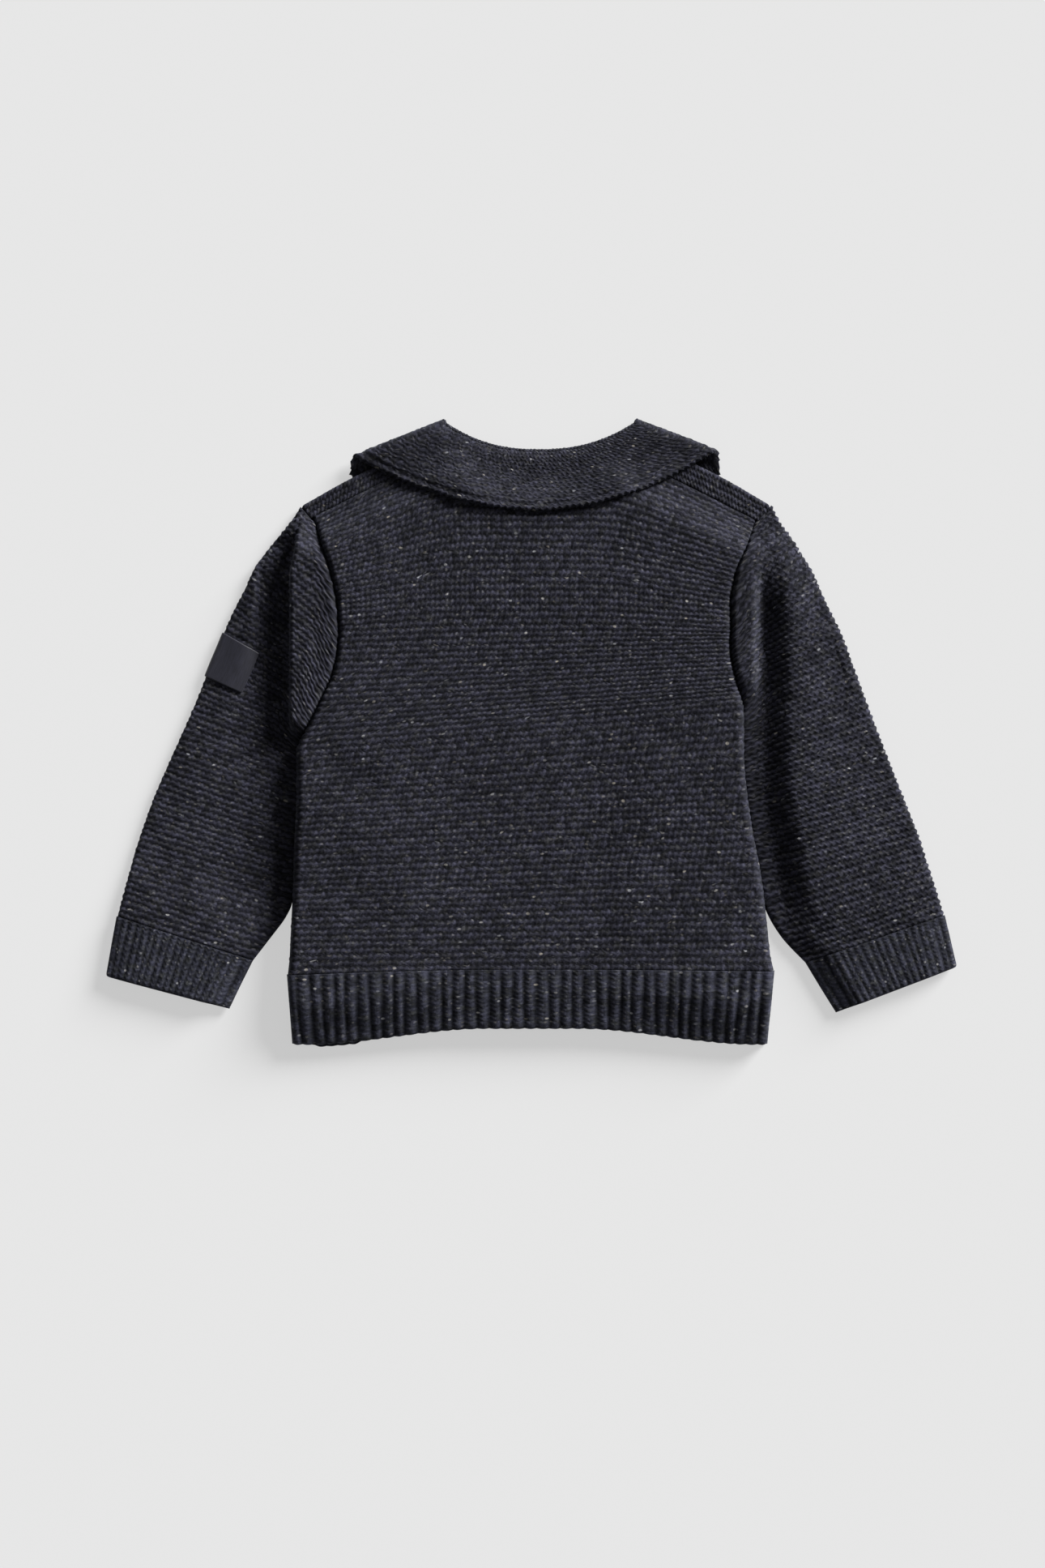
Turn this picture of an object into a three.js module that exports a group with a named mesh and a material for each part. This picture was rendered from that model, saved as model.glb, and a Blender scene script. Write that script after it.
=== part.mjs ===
// A baby's shawl-collar cardigan, knitted in thick yarn and laid face down on a table.
// Millimetres. +X is to the wearer's right, +Y towards the collar, +Z up, away from the table.
// The fronts lie on the table, the back lies on the fronts, and the collar's fall lies on the back.
// Every knitted piece is a wall of cloth: a grid of points on its middle, moved out to both sides.

import * as THREE from 'three';

const { lerp, clamp, smoothstep } = THREE.MathUtils;

// Thickness and layers
const WALL = 2.0;                    // thickness of the knitted cloth
const HALF = WALL / 2;
const SEAM_GAP = 0.3;                // clearance between two pieces that are sewn together
const NECK_GAP = 0.8;                // the same at the back neck, where two curves with unlike facets meet
const LAYER = 2.4;                   // step from the middle of one layer to the next one above
const EDGE_ROUND = 3.0;              // how far in from an edge its rounding starts
const EDGE_DROP = 1.2;               // how much the rounding takes off the wall at the edge

// Button bands and the V that the two fronts make
const BAND_HALF_WIDTH = 15;
const BAND_COLUMNS = 4;
const BAND_ROWS = 10;
const V_POINT_Y = 30;
const WING_SLANT = 0.6;              // angle of the collar wing's outer edge from upright, in radians
const RAMP_START = 6;                // how far beside a wing or band the cloth over it starts to fall
const FRONT_RAMP = 36;               // and where it reaches its own level again, on the fronts
const BACK_RAMP = 90;                // and on the back, which bridges more
const NECK_SAG = 1.2;
const BUTTON = {
  radius: 8, thickness: 2, dish: 0.6, rim: 1.6, bevel: 0.5, sides: 24, count: 4, topY: 14, spacing: 54,
};

// Ribs
const HEM_RIBS = 41;
const CUFF_RIBS = 14;
const RIB_HEIGHT = 0.9;
const RIB_PROFILE = [{ across: 0, high: false }, { across: 0.27, high: true }, { across: 0.73, high: true }];
const HEM_RIB_ROWS = 3;
const HEM_FRONT_COLUMNS = 8;

// Hem rib, across the garment
const HEM = {
  leftTop: [-136.2, -134.8], rightTop: [135.4, -132.6], middleTopY: -131.6,
  leftBottomX: -133.2, rightBottomX: 131.4,
  bottomY: -164.2, sideDrop: 9, dropStart: 25, dropEnd: 125,
  frontLeftExtra: 1.2, frontRightExtra: -0.6,   // how much longer than the back each front hangs
};

// Body edge, from hem to shoulder: where the side seam or armhole seam lies on each side
const BODY_ROWS = [
  { leftX: -135.6, leftY: -134.4, rightX: 134.9, rightY: -132.3 },
  { leftX: -134.2, leftY: -115.0, rightX: 131.6, rightY: -110.0 },
  { leftX: -133.0, leftY: -90.2, rightX: 128.1, rightY: -80.8 },
  { leftX: -132.2, leftY: -62.8, rightX: 122.4, rightY: -49.7 },
  { leftX: -130.9, leftY: -36.7, rightX: 118.8, rightY: -20.0 },
  { leftX: -130.8, leftY: -9.2, rightX: 118.0, rightY: 13.7 },
  { leftX: -120.2, leftY: 12.4, rightX: 114.2, rightY: 28.6 },
  { leftX: -111.6, leftY: 30.4, rightX: 111.4, rightY: 41.2 },
  { leftX: -108.4, leftY: 43.0, rightX: 110.9, rightY: 49.5 },
  { leftX: -107.2, leftY: 56.5, rightX: 111.4, rightY: 57.8 },
  { leftX: -108.6, leftY: 74.0, rightX: 111.2, rightY: 74.0 },
  { leftX: -112.6, leftY: 90.7, rightX: 114.4, rightY: 90.2 },
  { leftX: -117.2, leftY: 104.0, rightX: 120.4, rightY: 104.0 },
  { leftX: -121.1, leftY: 116.8, rightX: 124.7, rightY: 116.3 },
];

// Sleeves, a row for each section across the sleeve: its end at the fold on the outer edge,
// and its end at the armhole seam or, below the underarm, at the underarm seam
const SLEEVE_LEFT_ROWS = [
  { outX: -128.4, outY: 125.0, inX: -121.5, inY: 116.8 },
  { outX: -134.2, outY: 117.0, inX: -117.6, inY: 104.0 },
  { outX: -140.4, outY: 109.6, inX: -113.0, inY: 90.7 },
  { outX: -147.5, outY: 101.0, inX: -109.0, inY: 74.0 },
  { outX: -154.3, outY: 91.6, inX: -107.6, inY: 56.5 },
  { outX: -160.0, outY: 79.3, inX: -108.8, inY: 43.0 },
  { outX: -167.0, outY: 65.5, inX: -112.0, inY: 30.4 },
  { outX: -177.3, outY: 41.2, inX: -120.6, inY: 12.4 },
  { outX: -188.6, outY: 13.3, inX: -131.3, inY: -9.2 },
  { outX: -199.8, outY: -11.9, inX: -131.8, inY: -36.7 },
  { outX: -210.6, outY: -36.7, inX: -133.4, inY: -62.8 },
  { outX: -220.1, outY: -63.7, inX: -135.0, inY: -90.2 },
  { outX: -223.4, outY: -75.5, inX: -138.8, inY: -101.5 },
  { outX: -226.8, outY: -88.0, inX: -148.0, inY: -114.0 },
  { outX: -230.6, outY: -102.4, inX: -157.4, inY: -126.2 },
];
const SLEEVE_RIGHT_ROWS = [
  { outX: 133.6, outY: 125.0, inX: 125.1, inY: 116.3 },
  { outX: 139.0, outY: 116.2, inX: 120.8, inY: 104.0 },
  { outX: 144.0, outY: 109.6, inX: 114.8, inY: 90.2 },
  { outX: 150.2, outY: 100.0, inX: 111.6, inY: 74.0 },
  { outX: 156.2, outY: 90.2, inX: 111.8, inY: 57.8 },
  { outX: 160.5, outY: 80.8, inX: 111.3, inY: 49.5 },
  { outX: 164.7, outY: 71.3, inX: 111.8, inY: 41.2 },
  { outX: 172.8, outY: 54.7, inX: 114.6, inY: 28.6 },
  { outX: 178.7, outY: 38.9, inX: 118.5, inY: 13.7 },
  { outX: 190.8, outY: 6.1, inX: 119.9, inY: -20.0 },
  { outX: 203.0, outY: -25.4, inX: 123.5, inY: -49.7 },
  { outX: 215.1, outY: -56.0, inX: 129.3, inY: -80.8 },
  { outX: 219.5, outY: -69.5, inX: 132.4, inY: -97.0 },
  { outX: 224.5, outY: -84.5, inX: 141.5, inY: -113.0 },
  { outX: 229.8, outY: -101.7, inX: 155.0, inY: -127.4 },
];

// Cuffs, a row for the seam and a row for the wrist edge
const CUFF_LEFT_ROWS = [
  { outX: -230.7, outY: -102.8, inX: -157.6, inY: -126.6 },
  { outX: -233.8, outY: -119.2, inX: -164.4, inY: -140.2 },
  { outX: -236.7, outY: -135.7, inX: -170.6, inY: -153.2 },
];
const CUFF_RIGHT_ROWS = [
  { outX: 229.9, outY: -102.1, inX: 155.2, inY: -127.8 },
  { outX: 233.4, outY: -116.4, inX: 163.4, inY: -141.4 },
  { outX: 236.7, outY: -130.4, inX: 171.9, inY: -155.0 },
];

// Height of the sleeve above the table, at the middle of its upper layer
const SLEEVE = {
  seam: 3.4,                         // at the armhole seam and the underarm seam
  strip: 6.2,                        // cloth pushed up beside the armhole seam
  valley: 4.0,                       // crease outside that strip
  crest: 6.3,                        // over the full width further out
  cuff: 5.4,                         // over the cuff
  stripAt: 9, stripEndsAt: 13, valleyAt: 22, crestAt: 40,
  fullWidth: 55,                     // narrower sections have these distances in proportion
  underLift: 1.4, underLiftFrom: 3, underLiftTo: 20,
  capRows: 2, capShare: 0.35,        // the cap starts flatter at the shoulder
  underarmRow: 7.5, belowUnderarmRow: 10,
  cuffStartRow: 11, cuffRow: 14,
  thinning: [0.6, 0.15],             // taken off the wall at the seam and one column in
};
const SLEEVE_UPPER = [0, 0.03, 0.08, 0.15, 0.23, 0.3, 0.37, 0.45, 0.54, 0.64, 0.78, 0.9];
const SLEEVE_UNDER = [0, 0.08, 0.4, 0.7, 0.82, 0.92];
const LABEL_FIRST_COLUMN = 9;        // column of SLEEVE_UPPER where the patch starts
const LABEL_COLUMNS = 9;

// Collar, for each side: where the roll peaks, where the stand is sewn on, where the fall ends
const COLLAR_LEFT = { side: -1, peak: [-47.8, 169.9], neck: [-45.4, 161.6], end: [-94.5, 148.9] };
const COLLAR_RIGHT = { side: 1, peak: [57.6, 170.1], neck: [54.2, 161.6], end: [99.8, 151.0] };
const COLLAR = {
  neckMiddle: [4, 143.3], neckCurve: 0.0074,
  rollMiddle: [4, 155.4], rollPower: 2.34,
  fallMiddle: [3, 122.6], fallPower: 1.9,
  rollAtV: 2.9, fallAtV: 13, wingBulge: 4, neckHalfWidth: 50,
  backSections: 12, wingSections: 5, turnAngles: [90, 45, 0, -45, -90],
  standSteps: [0, 0.5], rollAngles: [0, 45, 90, 135, 180], fallSteps: [0.2, 0.45, 0.7, 0.9, 1],
};

// Shoulders: the fold at the outline, the seam behind it, and the bend between neck and tip
const SHOULDER = {
  neckFlare: 5.3, neckY: 162.2, leftTip: [-125.9, 125.2], rightTip: [130.8, 125.2], bulge: 2.6,
  seamAtNeckY: 155, seamSlope: 0.5, seamStartX: 50,
  slopeSine: 0.43, slopeCosine: 0.9, bendStartY: 40, lastRowBelow: 12, flareFrom: 35,
};
const BACK_WIDTH = 250;
const BACK_COLUMNS = 18;
const FRONT_WIDTH = 112;
const FRONT_COLUMNS = 8;
const FOLD_ANGLES = [-90, -45, 0, 45, 90].map((degrees) => THREE.MathUtils.degToRad(degrees));

// Woven patch on the left sleeve, from its upper face round the outer edge
const LABEL = { firstRow: 6.4, lastRow: 7.32, rows: 4, thickness: 0.7, standOff: 0.3 };

const NAVY_KNIT = { color: 0x2b2b33, roughness: 0.95, metalness: 0 };
const NAVY_COLLAR = { color: 0x32323a, roughness: 0.95, metalness: 0 };
const NAVY_RIB = { color: 0x2a2b31, roughness: 0.95, metalness: 0 };
const LABEL_CLOTH = { color: 0x17171f, roughness: 0.6, metalness: 0 };
const BUTTON_PLASTIC = { color: 0x24242b, roughness: 0.4, metalness: 0 };

const group = new THREE.Group();

function addMesh(name, geometry, look) {
  const mesh = new THREE.Mesh(geometry, new THREE.MeshStandardMaterial(look));
  mesh.name = name;
  group.add(mesh);
  return mesh;
}

// Value of one column of a table between two of its rows
function between(rows, position, column) {
  const first = Math.min(Math.floor(position), rows.length - 2);
  return lerp(rows[first][column], rows[first + 1][column], position - first);
}

// Even steps from 0 to 1, both ends included
function steps(count) {
  return Array.from({ length: count + 1 }, (_, index) => index / count);
}

// The side of a grid that its cloth faces, at every point
function gridNormals(grid) {
  const lastRow = grid.length - 1;
  const lastColumn = grid[0].length - 1;
  return grid.map((row, i) => row.map((_, j) => {
    const alongRow = grid[i][Math.min(j + 1, lastColumn)].clone().sub(grid[i][Math.max(j - 1, 0)]);
    const acrossRows = grid[Math.min(i + 1, lastRow)][j].clone().sub(grid[Math.max(i - 1, 0)][j]);
    return alongRow.cross(acrossRows).normalize();
  }));
}

// A closed wall between two grids of points: both faces and the four edges
function wallBetween(outer, inner) {
  const rows = outer.length;
  const columns = outer[0].length;
  const points = [...outer.flat(), ...inner.flat()];
  const innerStart = rows * columns;
  const at = (i, j, face) => face * innerStart + i * columns + j;
  const triangles = [];
  const quad = (a, b, c, d) => triangles.push(a, b, c, a, c, d);
  for (let i = 0; i < rows - 1; i += 1) {
    for (let j = 0; j < columns - 1; j += 1) {
      quad(at(i, j, 0), at(i, j + 1, 0), at(i + 1, j + 1, 0), at(i + 1, j, 0));
      quad(at(i, j, 1), at(i + 1, j, 1), at(i + 1, j + 1, 1), at(i, j + 1, 1));
    }
  }
  for (let j = 0; j < columns - 1; j += 1) {
    quad(at(0, j, 0), at(0, j, 1), at(0, j + 1, 1), at(0, j + 1, 0));
    quad(at(rows - 1, j, 0), at(rows - 1, j + 1, 0), at(rows - 1, j + 1, 1), at(rows - 1, j, 1));
  }
  for (let i = 0; i < rows - 1; i += 1) {
    quad(at(i, 0, 0), at(i + 1, 0, 0), at(i + 1, 0, 1), at(i, 0, 1));
    quad(at(i, columns - 1, 0), at(i, columns - 1, 1), at(i + 1, columns - 1, 1), at(i + 1, columns - 1, 0));
  }
  const geometry = new THREE.BufferGeometry();
  geometry.setAttribute('position', new THREE.Float32BufferAttribute(points.flatMap((p) => p.toArray()), 3));
  geometry.setIndex(volumeSign(points, triangles) > 0 ? triangles : turnedOver(triangles));
  geometry.computeVertexNormals();
  return geometry;
}

// Positive where the triangles face outwards
function volumeSign(points, triangles) {
  let volume = 0;
  for (let k = 0; k < triangles.length; k += 3) {
    const [a, b, c] = [points[triangles[k]], points[triangles[k + 1]], points[triangles[k + 2]]];
    volume += a.dot(b.clone().cross(c));
  }
  return Math.sign(volume);
}

function turnedOver(triangles) {
  const result = [];
  for (let k = 0; k < triangles.length; k += 3) {
    result.push(triangles[k], triangles[k + 2], triangles[k + 1]);
  }
  return result;
}

// A wall of cloth from the grid on its middle. outwards is 1 where the cloth's right side is on
// the side that gridNormals gives, and raise gives the height of the right side over the middle.
function cloth(middle, outwards, raise) {
  const normals = gridNormals(middle);
  const moved = (distance) => middle.map((row, i) => row.map((point, j) => (
    point.clone().addScaledVector(normals[i][j], distance(i, j)))));
  return wallBetween(moved((i, j) => outwards * raise(i, j)), moved(() => -outwards * HALF));
}

// Where cloth lies over the collar's wings and the button bands: 1 on them, and 0 from rampEnd
// beside them
function lift(x, y, rampEnd) {
  const besideBand = Math.abs(x) - BAND_HALF_WIDTH;
  const besideWing = besideBand * Math.cos(WING_SLANT) - (y - V_POINT_Y) * Math.sin(WING_SLANT);
  return 1 - smoothstep(Math.min(besideBand, besideWing), RAMP_START, rampEnd);
}

// Where the inner of the two button bands adds a second layer
function innerBandLift(x, y, rampEnd) {
  const besideBand = 1 - smoothstep(Math.abs(x) - BAND_HALF_WIDTH, RAMP_START / 2, rampEnd);
  const belowV = 1 - smoothstep(y, V_POINT_Y + RAMP_START / 2, V_POINT_Y + rampEnd);
  return besideBand * belowV;
}

// Middle of the cloth of each front, above the table
function frontLeftLevel(x, y) {
  return HALF + LAYER * lift(x, y, FRONT_RAMP);
}

function frontRightLevel(x, y) {
  return HALF + LAYER * (lift(x, y, FRONT_RAMP) + innerBandLift(x, y, FRONT_RAMP));
}

// Middle of the cloth of the back: a low broad crown over the bands, a step up over the collar's
// wings, and a little sag into the open V and the neck
function backLevel(x, y) {
  const ramp = lerp(BACK_RAMP, FRONT_RAMP, smoothstep(y, V_POINT_Y - 10, V_POINT_Y + 60));
  const openHalfWidth = COLLAR.neckHalfWidth * clamp((y - V_POINT_Y) / (SHOULDER.neckY - V_POINT_Y), 0, 1);
  const sag = NECK_SAG * smoothstep(y, V_POINT_Y + 30, V_POINT_Y + 70)
    * (1 - smoothstep(Math.abs(x - COLLAR.fallMiddle[0]), 0.2 * openHalfWidth, openHalfWidth));
  return HALF + LAYER * (1 + lift(x, y, ramp) + innerBandLift(x, y, ramp)) - sag;
}

// Height taken off the wall's right side near an edge, to round it
function rounding(distance) {
  const inside = clamp(1 - distance / EDGE_ROUND, 0, 1);
  return EDGE_DROP * (1 - Math.sqrt(1 - inside * inside));
}

// Positions across a panel of the given width, closer together at its two rounded edges
function panelColumns(width, count) {
  const edge = [0, 0.3 * EDGE_ROUND / width, EDGE_ROUND / width];
  const inner = steps(count).map((u) => lerp(edge[2], 1 - edge[2], u)).slice(1, -1);
  return [...edge, ...inner, ...edge.map((u) => 1 - u).reverse()];
}

// Hem
function hemBottom(x, extra) {
  return HEM.bottomY - extra - HEM.sideDrop * smoothstep(Math.abs(x), HEM.dropStart, HEM.dropEnd);
}

function hemTop(x) {
  const side = x < 0 ? HEM.leftTop : HEM.rightTop;
  return lerp(HEM.middleTopY, side[1], Math.abs(x / side[0]) ** 2);
}

function hemEdgeX(x, v) {
  const side = x < 0 ? HEM.leftTop[0] : HEM.rightTop[0];
  const bottom = x < 0 ? HEM.leftBottomX : HEM.rightBottomX;
  return x * lerp(1, bottom / side, v * (x / side) ** 2);
}

function hemPoint(x, v, extra, level) {
  const px = hemEdgeX(x, v);
  const py = lerp(hemTop(x), hemBottom(px, extra), v);
  return new THREE.Vector3(px, py, level(px, py));
}

function hemRibBack() {
  const width = HEM.rightTop[0] - HEM.leftTop[0];
  const pitch = width / HEM_RIBS;
  const columns = [];
  for (let rib = 0; rib < HEM_RIBS; rib += 1) {
    columns.push(...RIB_PROFILE.map(({ across, high }) => ({ x: (rib + across) * pitch, high })));
  }
  columns.push({ x: width, high: false });
  const middle = steps(HEM_RIB_ROWS).map((v) => columns.map((column) => (
    hemPoint(HEM.leftTop[0] + column.x, v, 0, backLevel))));
  return cloth(middle, -1, (i, j) => (columns[j].high ? HALF : HALF - RIB_HEIGHT));
}

function hemRibFront(fromX, toX, extra, level) {
  const middle = steps(2).map((v) => steps(HEM_FRONT_COLUMNS).map((u) => (
    hemPoint(lerp(fromX, toX, u), v, extra, level))));
  return cloth(middle, 1, () => HALF);
}

// Back
function neckCurveY(x) {
  return COLLAR.neckMiddle[1] + COLLAR.neckCurve * (x - COLLAR.neckMiddle[0]) ** 2;
}

function backTop(x) {
  const seam = SHOULDER.seamAtNeckY - SHOULDER.seamSlope * (Math.abs(x) - SHOULDER.seamStartX);
  return Math.min(seam, neckCurveY(x) - NECK_GAP);
}

// How far a row of the body bends to follow the shoulders and the neck: 1 for the top row
function shoulderShare(y, topY) {
  return clamp((y - SHOULDER.bendStartY) / (topY - SHOULDER.bendStartY), 0, 1) ** 1.5;
}

function backPoint(row, u) {
  const top = BODY_ROWS.at(-1);
  const x = lerp(row.leftX, row.rightX, u);
  const straightTop = lerp(top.leftY, top.rightY, u);
  const bend = Math.max(backTop(lerp(top.leftX, top.rightX, u)), straightTop) - straightTop;
  const y = row === BODY_ROWS[0] ? hemTop(x) + SEAM_GAP
    : lerp(row.leftY, row.rightY, u) + shoulderShare(row.leftY, top.leftY) * bend;
  return new THREE.Vector3(x, y, backLevel(x, y));
}

function backPanel() {
  const columns = panelColumns(BACK_WIDTH, BACK_COLUMNS);
  const middle = BODY_ROWS.map((row) => columns.map((u) => backPoint(row, u)));
  const raise = (i, j) => HALF - rounding(BACK_WIDTH * Math.min(columns[j], 1 - columns[j]));
  return cloth(middle, 1, raise);
}

// Fronts. Each runs from its band or neck edge out to its side, and over the shoulder to the seam.
function collarSeamX(y, collar) {
  const up = (y - V_POINT_Y) / (collar.neck[1] - V_POINT_Y);
  return lerp(BAND_HALF_WIDTH, Math.abs(collar.neck[0]), clamp(up, 0, 1));
}

function neckEdgeX(y, collar) {
  const flare = SHOULDER.neckFlare * smoothstep(y, SHOULDER.neckY - SHOULDER.flareFrom, SHOULDER.neckY);
  return collar.side * (collarSeamX(y, collar) + SEAM_GAP + flare);
}

function frontPanel(collar, level) {
  const tip = collar.side < 0 ? SHOULDER.leftTip : SHOULDER.rightTip;
  const sideOf = (row) => (collar.side < 0 ? [row.leftX, row.leftY] : [row.rightX, row.rightY]);
  const [topX, topY] = sideOf(BODY_ROWS.at(-1));
  const columns = [0, ...panelColumns(FRONT_WIDTH, FRONT_COLUMNS).slice(3)];
  const neckX = neckEdgeX(SHOULDER.neckY, collar);
  const middle = BODY_ROWS.map((row) => columns.map((u) => {
    const [sideX, sideY] = sideOf(row);
    const neckY = lerp(sideY, SHOULDER.neckY - SHOULDER.lastRowBelow, shoulderShare(sideY, topY));
    const y = lerp(neckY, sideY, u);
    const x = lerp(neckEdgeX(y, collar), sideX, u);
    const onRow = row === BODY_ROWS[0] ? hemTop(x) + SEAM_GAP : y;
    return new THREE.Vector3(x, onRow, level(x, onRow));
  }));
  const radius = LAYER / 2;
  for (const angle of FOLD_ANGLES) {
    middle.push(columns.map((u) => {
      const outlineX = lerp(neckX, tip[0], u);
      const outlineY = lerp(SHOULDER.neckY, tip[1], u) + SHOULDER.bulge * Math.sin(Math.PI * u);
      const inwards = HALF + radius * (1 - Math.cos(angle));
      const x = outlineX - collar.side * inwards * SHOULDER.slopeSine;
      const y = outlineY - inwards * SHOULDER.slopeCosine;
      return new THREE.Vector3(x, y, level(x, y) + radius * (1 + Math.sin(angle)));
    }));
  }
  middle.push(columns.map((u) => {
    const x = lerp(neckX, topX + collar.side * SEAM_GAP, u);
    const y = SHOULDER.seamAtNeckY - SHOULDER.seamSlope * (Math.abs(x) - SHOULDER.seamStartX) + SEAM_GAP;
    return new THREE.Vector3(x, y, level(x, y) + LAYER);
  }));
  const raise = (i, j) => HALF - rounding(FRONT_WIDTH * (1 - columns[j]));
  return cloth(middle, -collar.side, raise);
}

// Sleeves and cuffs. Each is one sheet: it starts at the seam, runs over the upper side, turns
// round the outer edge and comes back underneath to the seam.
function sleeveUpper(distance, width, t) {
  const k = Math.min(1, width / SLEEVE.fullWidth);
  const rise = lerp(SLEEVE.capShare, 1, smoothstep(t, 0, SLEEVE.capRows));
  const crest = lerp(SLEEVE.crest, SLEEVE.cuff, smoothstep(t, SLEEVE.cuffStartRow, SLEEVE.cuffRow));
  const step = (from, to, start, end) => (to - from) * smoothstep(distance, start * k, end * k);
  const atArmhole = step(SLEEVE.seam, SLEEVE.strip, 0, SLEEVE.stripAt)
    + step(SLEEVE.strip, SLEEVE.valley, SLEEVE.stripEndsAt, SLEEVE.valleyAt)
    + step(SLEEVE.valley, crest, SLEEVE.valleyAt, SLEEVE.crestAt);
  const belowIt = step(SLEEVE.seam, crest, 0, SLEEVE.valleyAt);
  const below = smoothstep(t, SLEEVE.underarmRow, SLEEVE.belowUnderarmRow);
  return SLEEVE.seam + rise * lerp(atArmhole, belowIt, below);
}

function sleeveUnder(distance, width) {
  const fromEdge = width - distance;
  return HALF + SLEEVE.underLift * (1 - smoothstep(fromEdge, SLEEVE.underLiftFrom, SLEEVE.underLiftTo));
}

// One section: upper and under give the fractions across the sleeve, from the seam to the edge
function sleeveSection(rows, t, upper, under, upperLevel) {
  const seam = new THREE.Vector3(between(rows, t, 'inX'), between(rows, t, 'inY'), 0);
  const edge = new THREE.Vector3(between(rows, t, 'outX'), between(rows, t, 'outY'), 0);
  const width = seam.distanceTo(edge);
  const across = edge.clone().sub(seam).normalize();
  const at = (distance, z) => seam.clone().addScaledVector(across, distance).setZ(z);
  const top = upperLevel(width, width, t);
  const bottom = sleeveUnder(width, width);
  const radius = (top - bottom) / 2;
  const turnAt = width - HALF - radius;
  const upperPoints = upper.map((f) => at(f * turnAt, upperLevel(f * turnAt, width, t)));
  const turn = FOLD_ANGLES.map((angle) => (
    at(turnAt + radius * Math.cos(angle), (top + bottom) / 2 - radius * Math.sin(angle))));
  const underPoints = under.map((f) => at(f * turnAt, sleeveUnder(f * turnAt, width))).reverse();
  return [...upperPoints, ...turn, ...underPoints];
}

// The wall thins towards the seam, on both layers
function seamRounding(j, last) {
  return SLEEVE.thinning[Math.min(j, last - j)] ?? 0;
}

function sleeve(rows, side, extraRows) {
  const positions = [...rows.keys(), ...extraRows].sort((a, b) => a - b);
  const middle = positions.map((t) => sleeveSection(rows, t, SLEEVE_UPPER, SLEEVE_UNDER, sleeveUpper));
  const last = middle[0].length - 1;
  return cloth(middle, -side, (i, j) => HALF - seamRounding(j, last));
}

function cuffUpper(distance, width) {
  return lerp(SLEEVE.seam, SLEEVE.cuff, smoothstep(distance, 0, SLEEVE.stripAt));
}

function cuff(rows, side) {
  const high = [];
  const upper = [];
  for (let rib = 0; rib < CUFF_RIBS; rib += 1) {
    for (const point of RIB_PROFILE) {
      upper.push((rib + point.across) / CUFF_RIBS);
      high.push(point.high);
    }
  }
  const middle = rows.map((_, t) => sleeveSection(rows, t, upper, SLEEVE_UNDER, cuffUpper));
  const last = middle[0].length - 1;
  const raise = (i, j) => HALF - Math.max(j < high.length && !high[j] ? RIB_HEIGHT : 0, seamRounding(j, last));
  return cloth(middle, -side, raise);
}

function sleeveLabel() {
  const middle = steps(LABEL.rows).map((share) => sleeveSection(
    SLEEVE_LEFT_ROWS, lerp(LABEL.firstRow, LABEL.lastRow, share), SLEEVE_UPPER, SLEEVE_UNDER, sleeveUpper,
  ).slice(LABEL_FIRST_COLUMN, LABEL_FIRST_COLUMN + LABEL_COLUMNS));
  const normals = gridNormals(middle);
  const moved = (distance) => middle.map((row, i) => row.map((point, j) => (
    point.clone().addScaledVector(normals[i][j], distance))));
  return wallBetween(moved(HALF + LABEL.standOff + LABEL.thickness), moved(HALF + LABEL.standOff));
}

// Collar. A section runs from the neck seam over the stand, round the roll and down the fall.
function collarSection(neck, roll, end, standLevel, fallLevel, standOut, fallOut) {
  const toNeck = neck.clone().sub(roll).normalize();
  const toEnd = end.clone().sub(roll).normalize();
  const outwards = toNeck.clone().add(toEnd).normalize().negate();
  const point = (plan, out, level) => new THREE.Vector3(plan.x + out.x, plan.y + out.y, level(plan.x, plan.y));
  const radius = LAYER / 2;
  const standAtRoll = point(roll, standOut, standLevel);
  const fallAtRoll = point(roll, fallOut, fallLevel);
  const stand = COLLAR.standSteps.map((f) => point(neck.clone().lerp(roll, f), standOut, standLevel));
  const turn = COLLAR.rollAngles.map((degrees) => {
    const angle = THREE.MathUtils.degToRad(degrees);
    const onTurn = standAtRoll.clone().lerp(fallAtRoll, (1 - Math.cos(angle)) / 2);
    onTurn.x += outwards.x * radius * Math.sin(angle);
    onTurn.y += outwards.y * radius * Math.sin(angle);
    return onTurn;
  });
  const fall = COLLAR.fallSteps.map((f) => point(roll.clone().lerp(end, f), fallOut, fallLevel));
  return [...stand, ...turn, ...fall];
}

const NO_OFFSET = new THREE.Vector2(0, 0);

function collarBackSection(g) {
  const collar = g < 0 ? COLLAR_LEFT : COLLAR_RIGHT;
  const along = Math.abs(g);
  const place = (middle, finish, power) => new THREE.Vector2(
    lerp(middle[0], finish[0], along), lerp(middle[1], finish[1], along ** power));
  const neck = place(COLLAR.neckMiddle, collar.neck, 2);
  neck.y = neckCurveY(neck.x);
  const roll = place(COLLAR.rollMiddle, collar.peak, COLLAR.rollPower);
  const end = place(COLLAR.fallMiddle, collar.end, COLLAR.fallPower);
  const fallLevel = (x, y) => backLevel(x, y) + LAYER;
  return collarSection(neck, roll, end, backLevel, fallLevel, NO_OFFSET, NO_OFFSET);
}

function wingLevel(collar, x, y) {
  return collar.side > 0 ? LAYER * innerBandLift(x, y, FRONT_RAMP) : 0;
}

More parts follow.
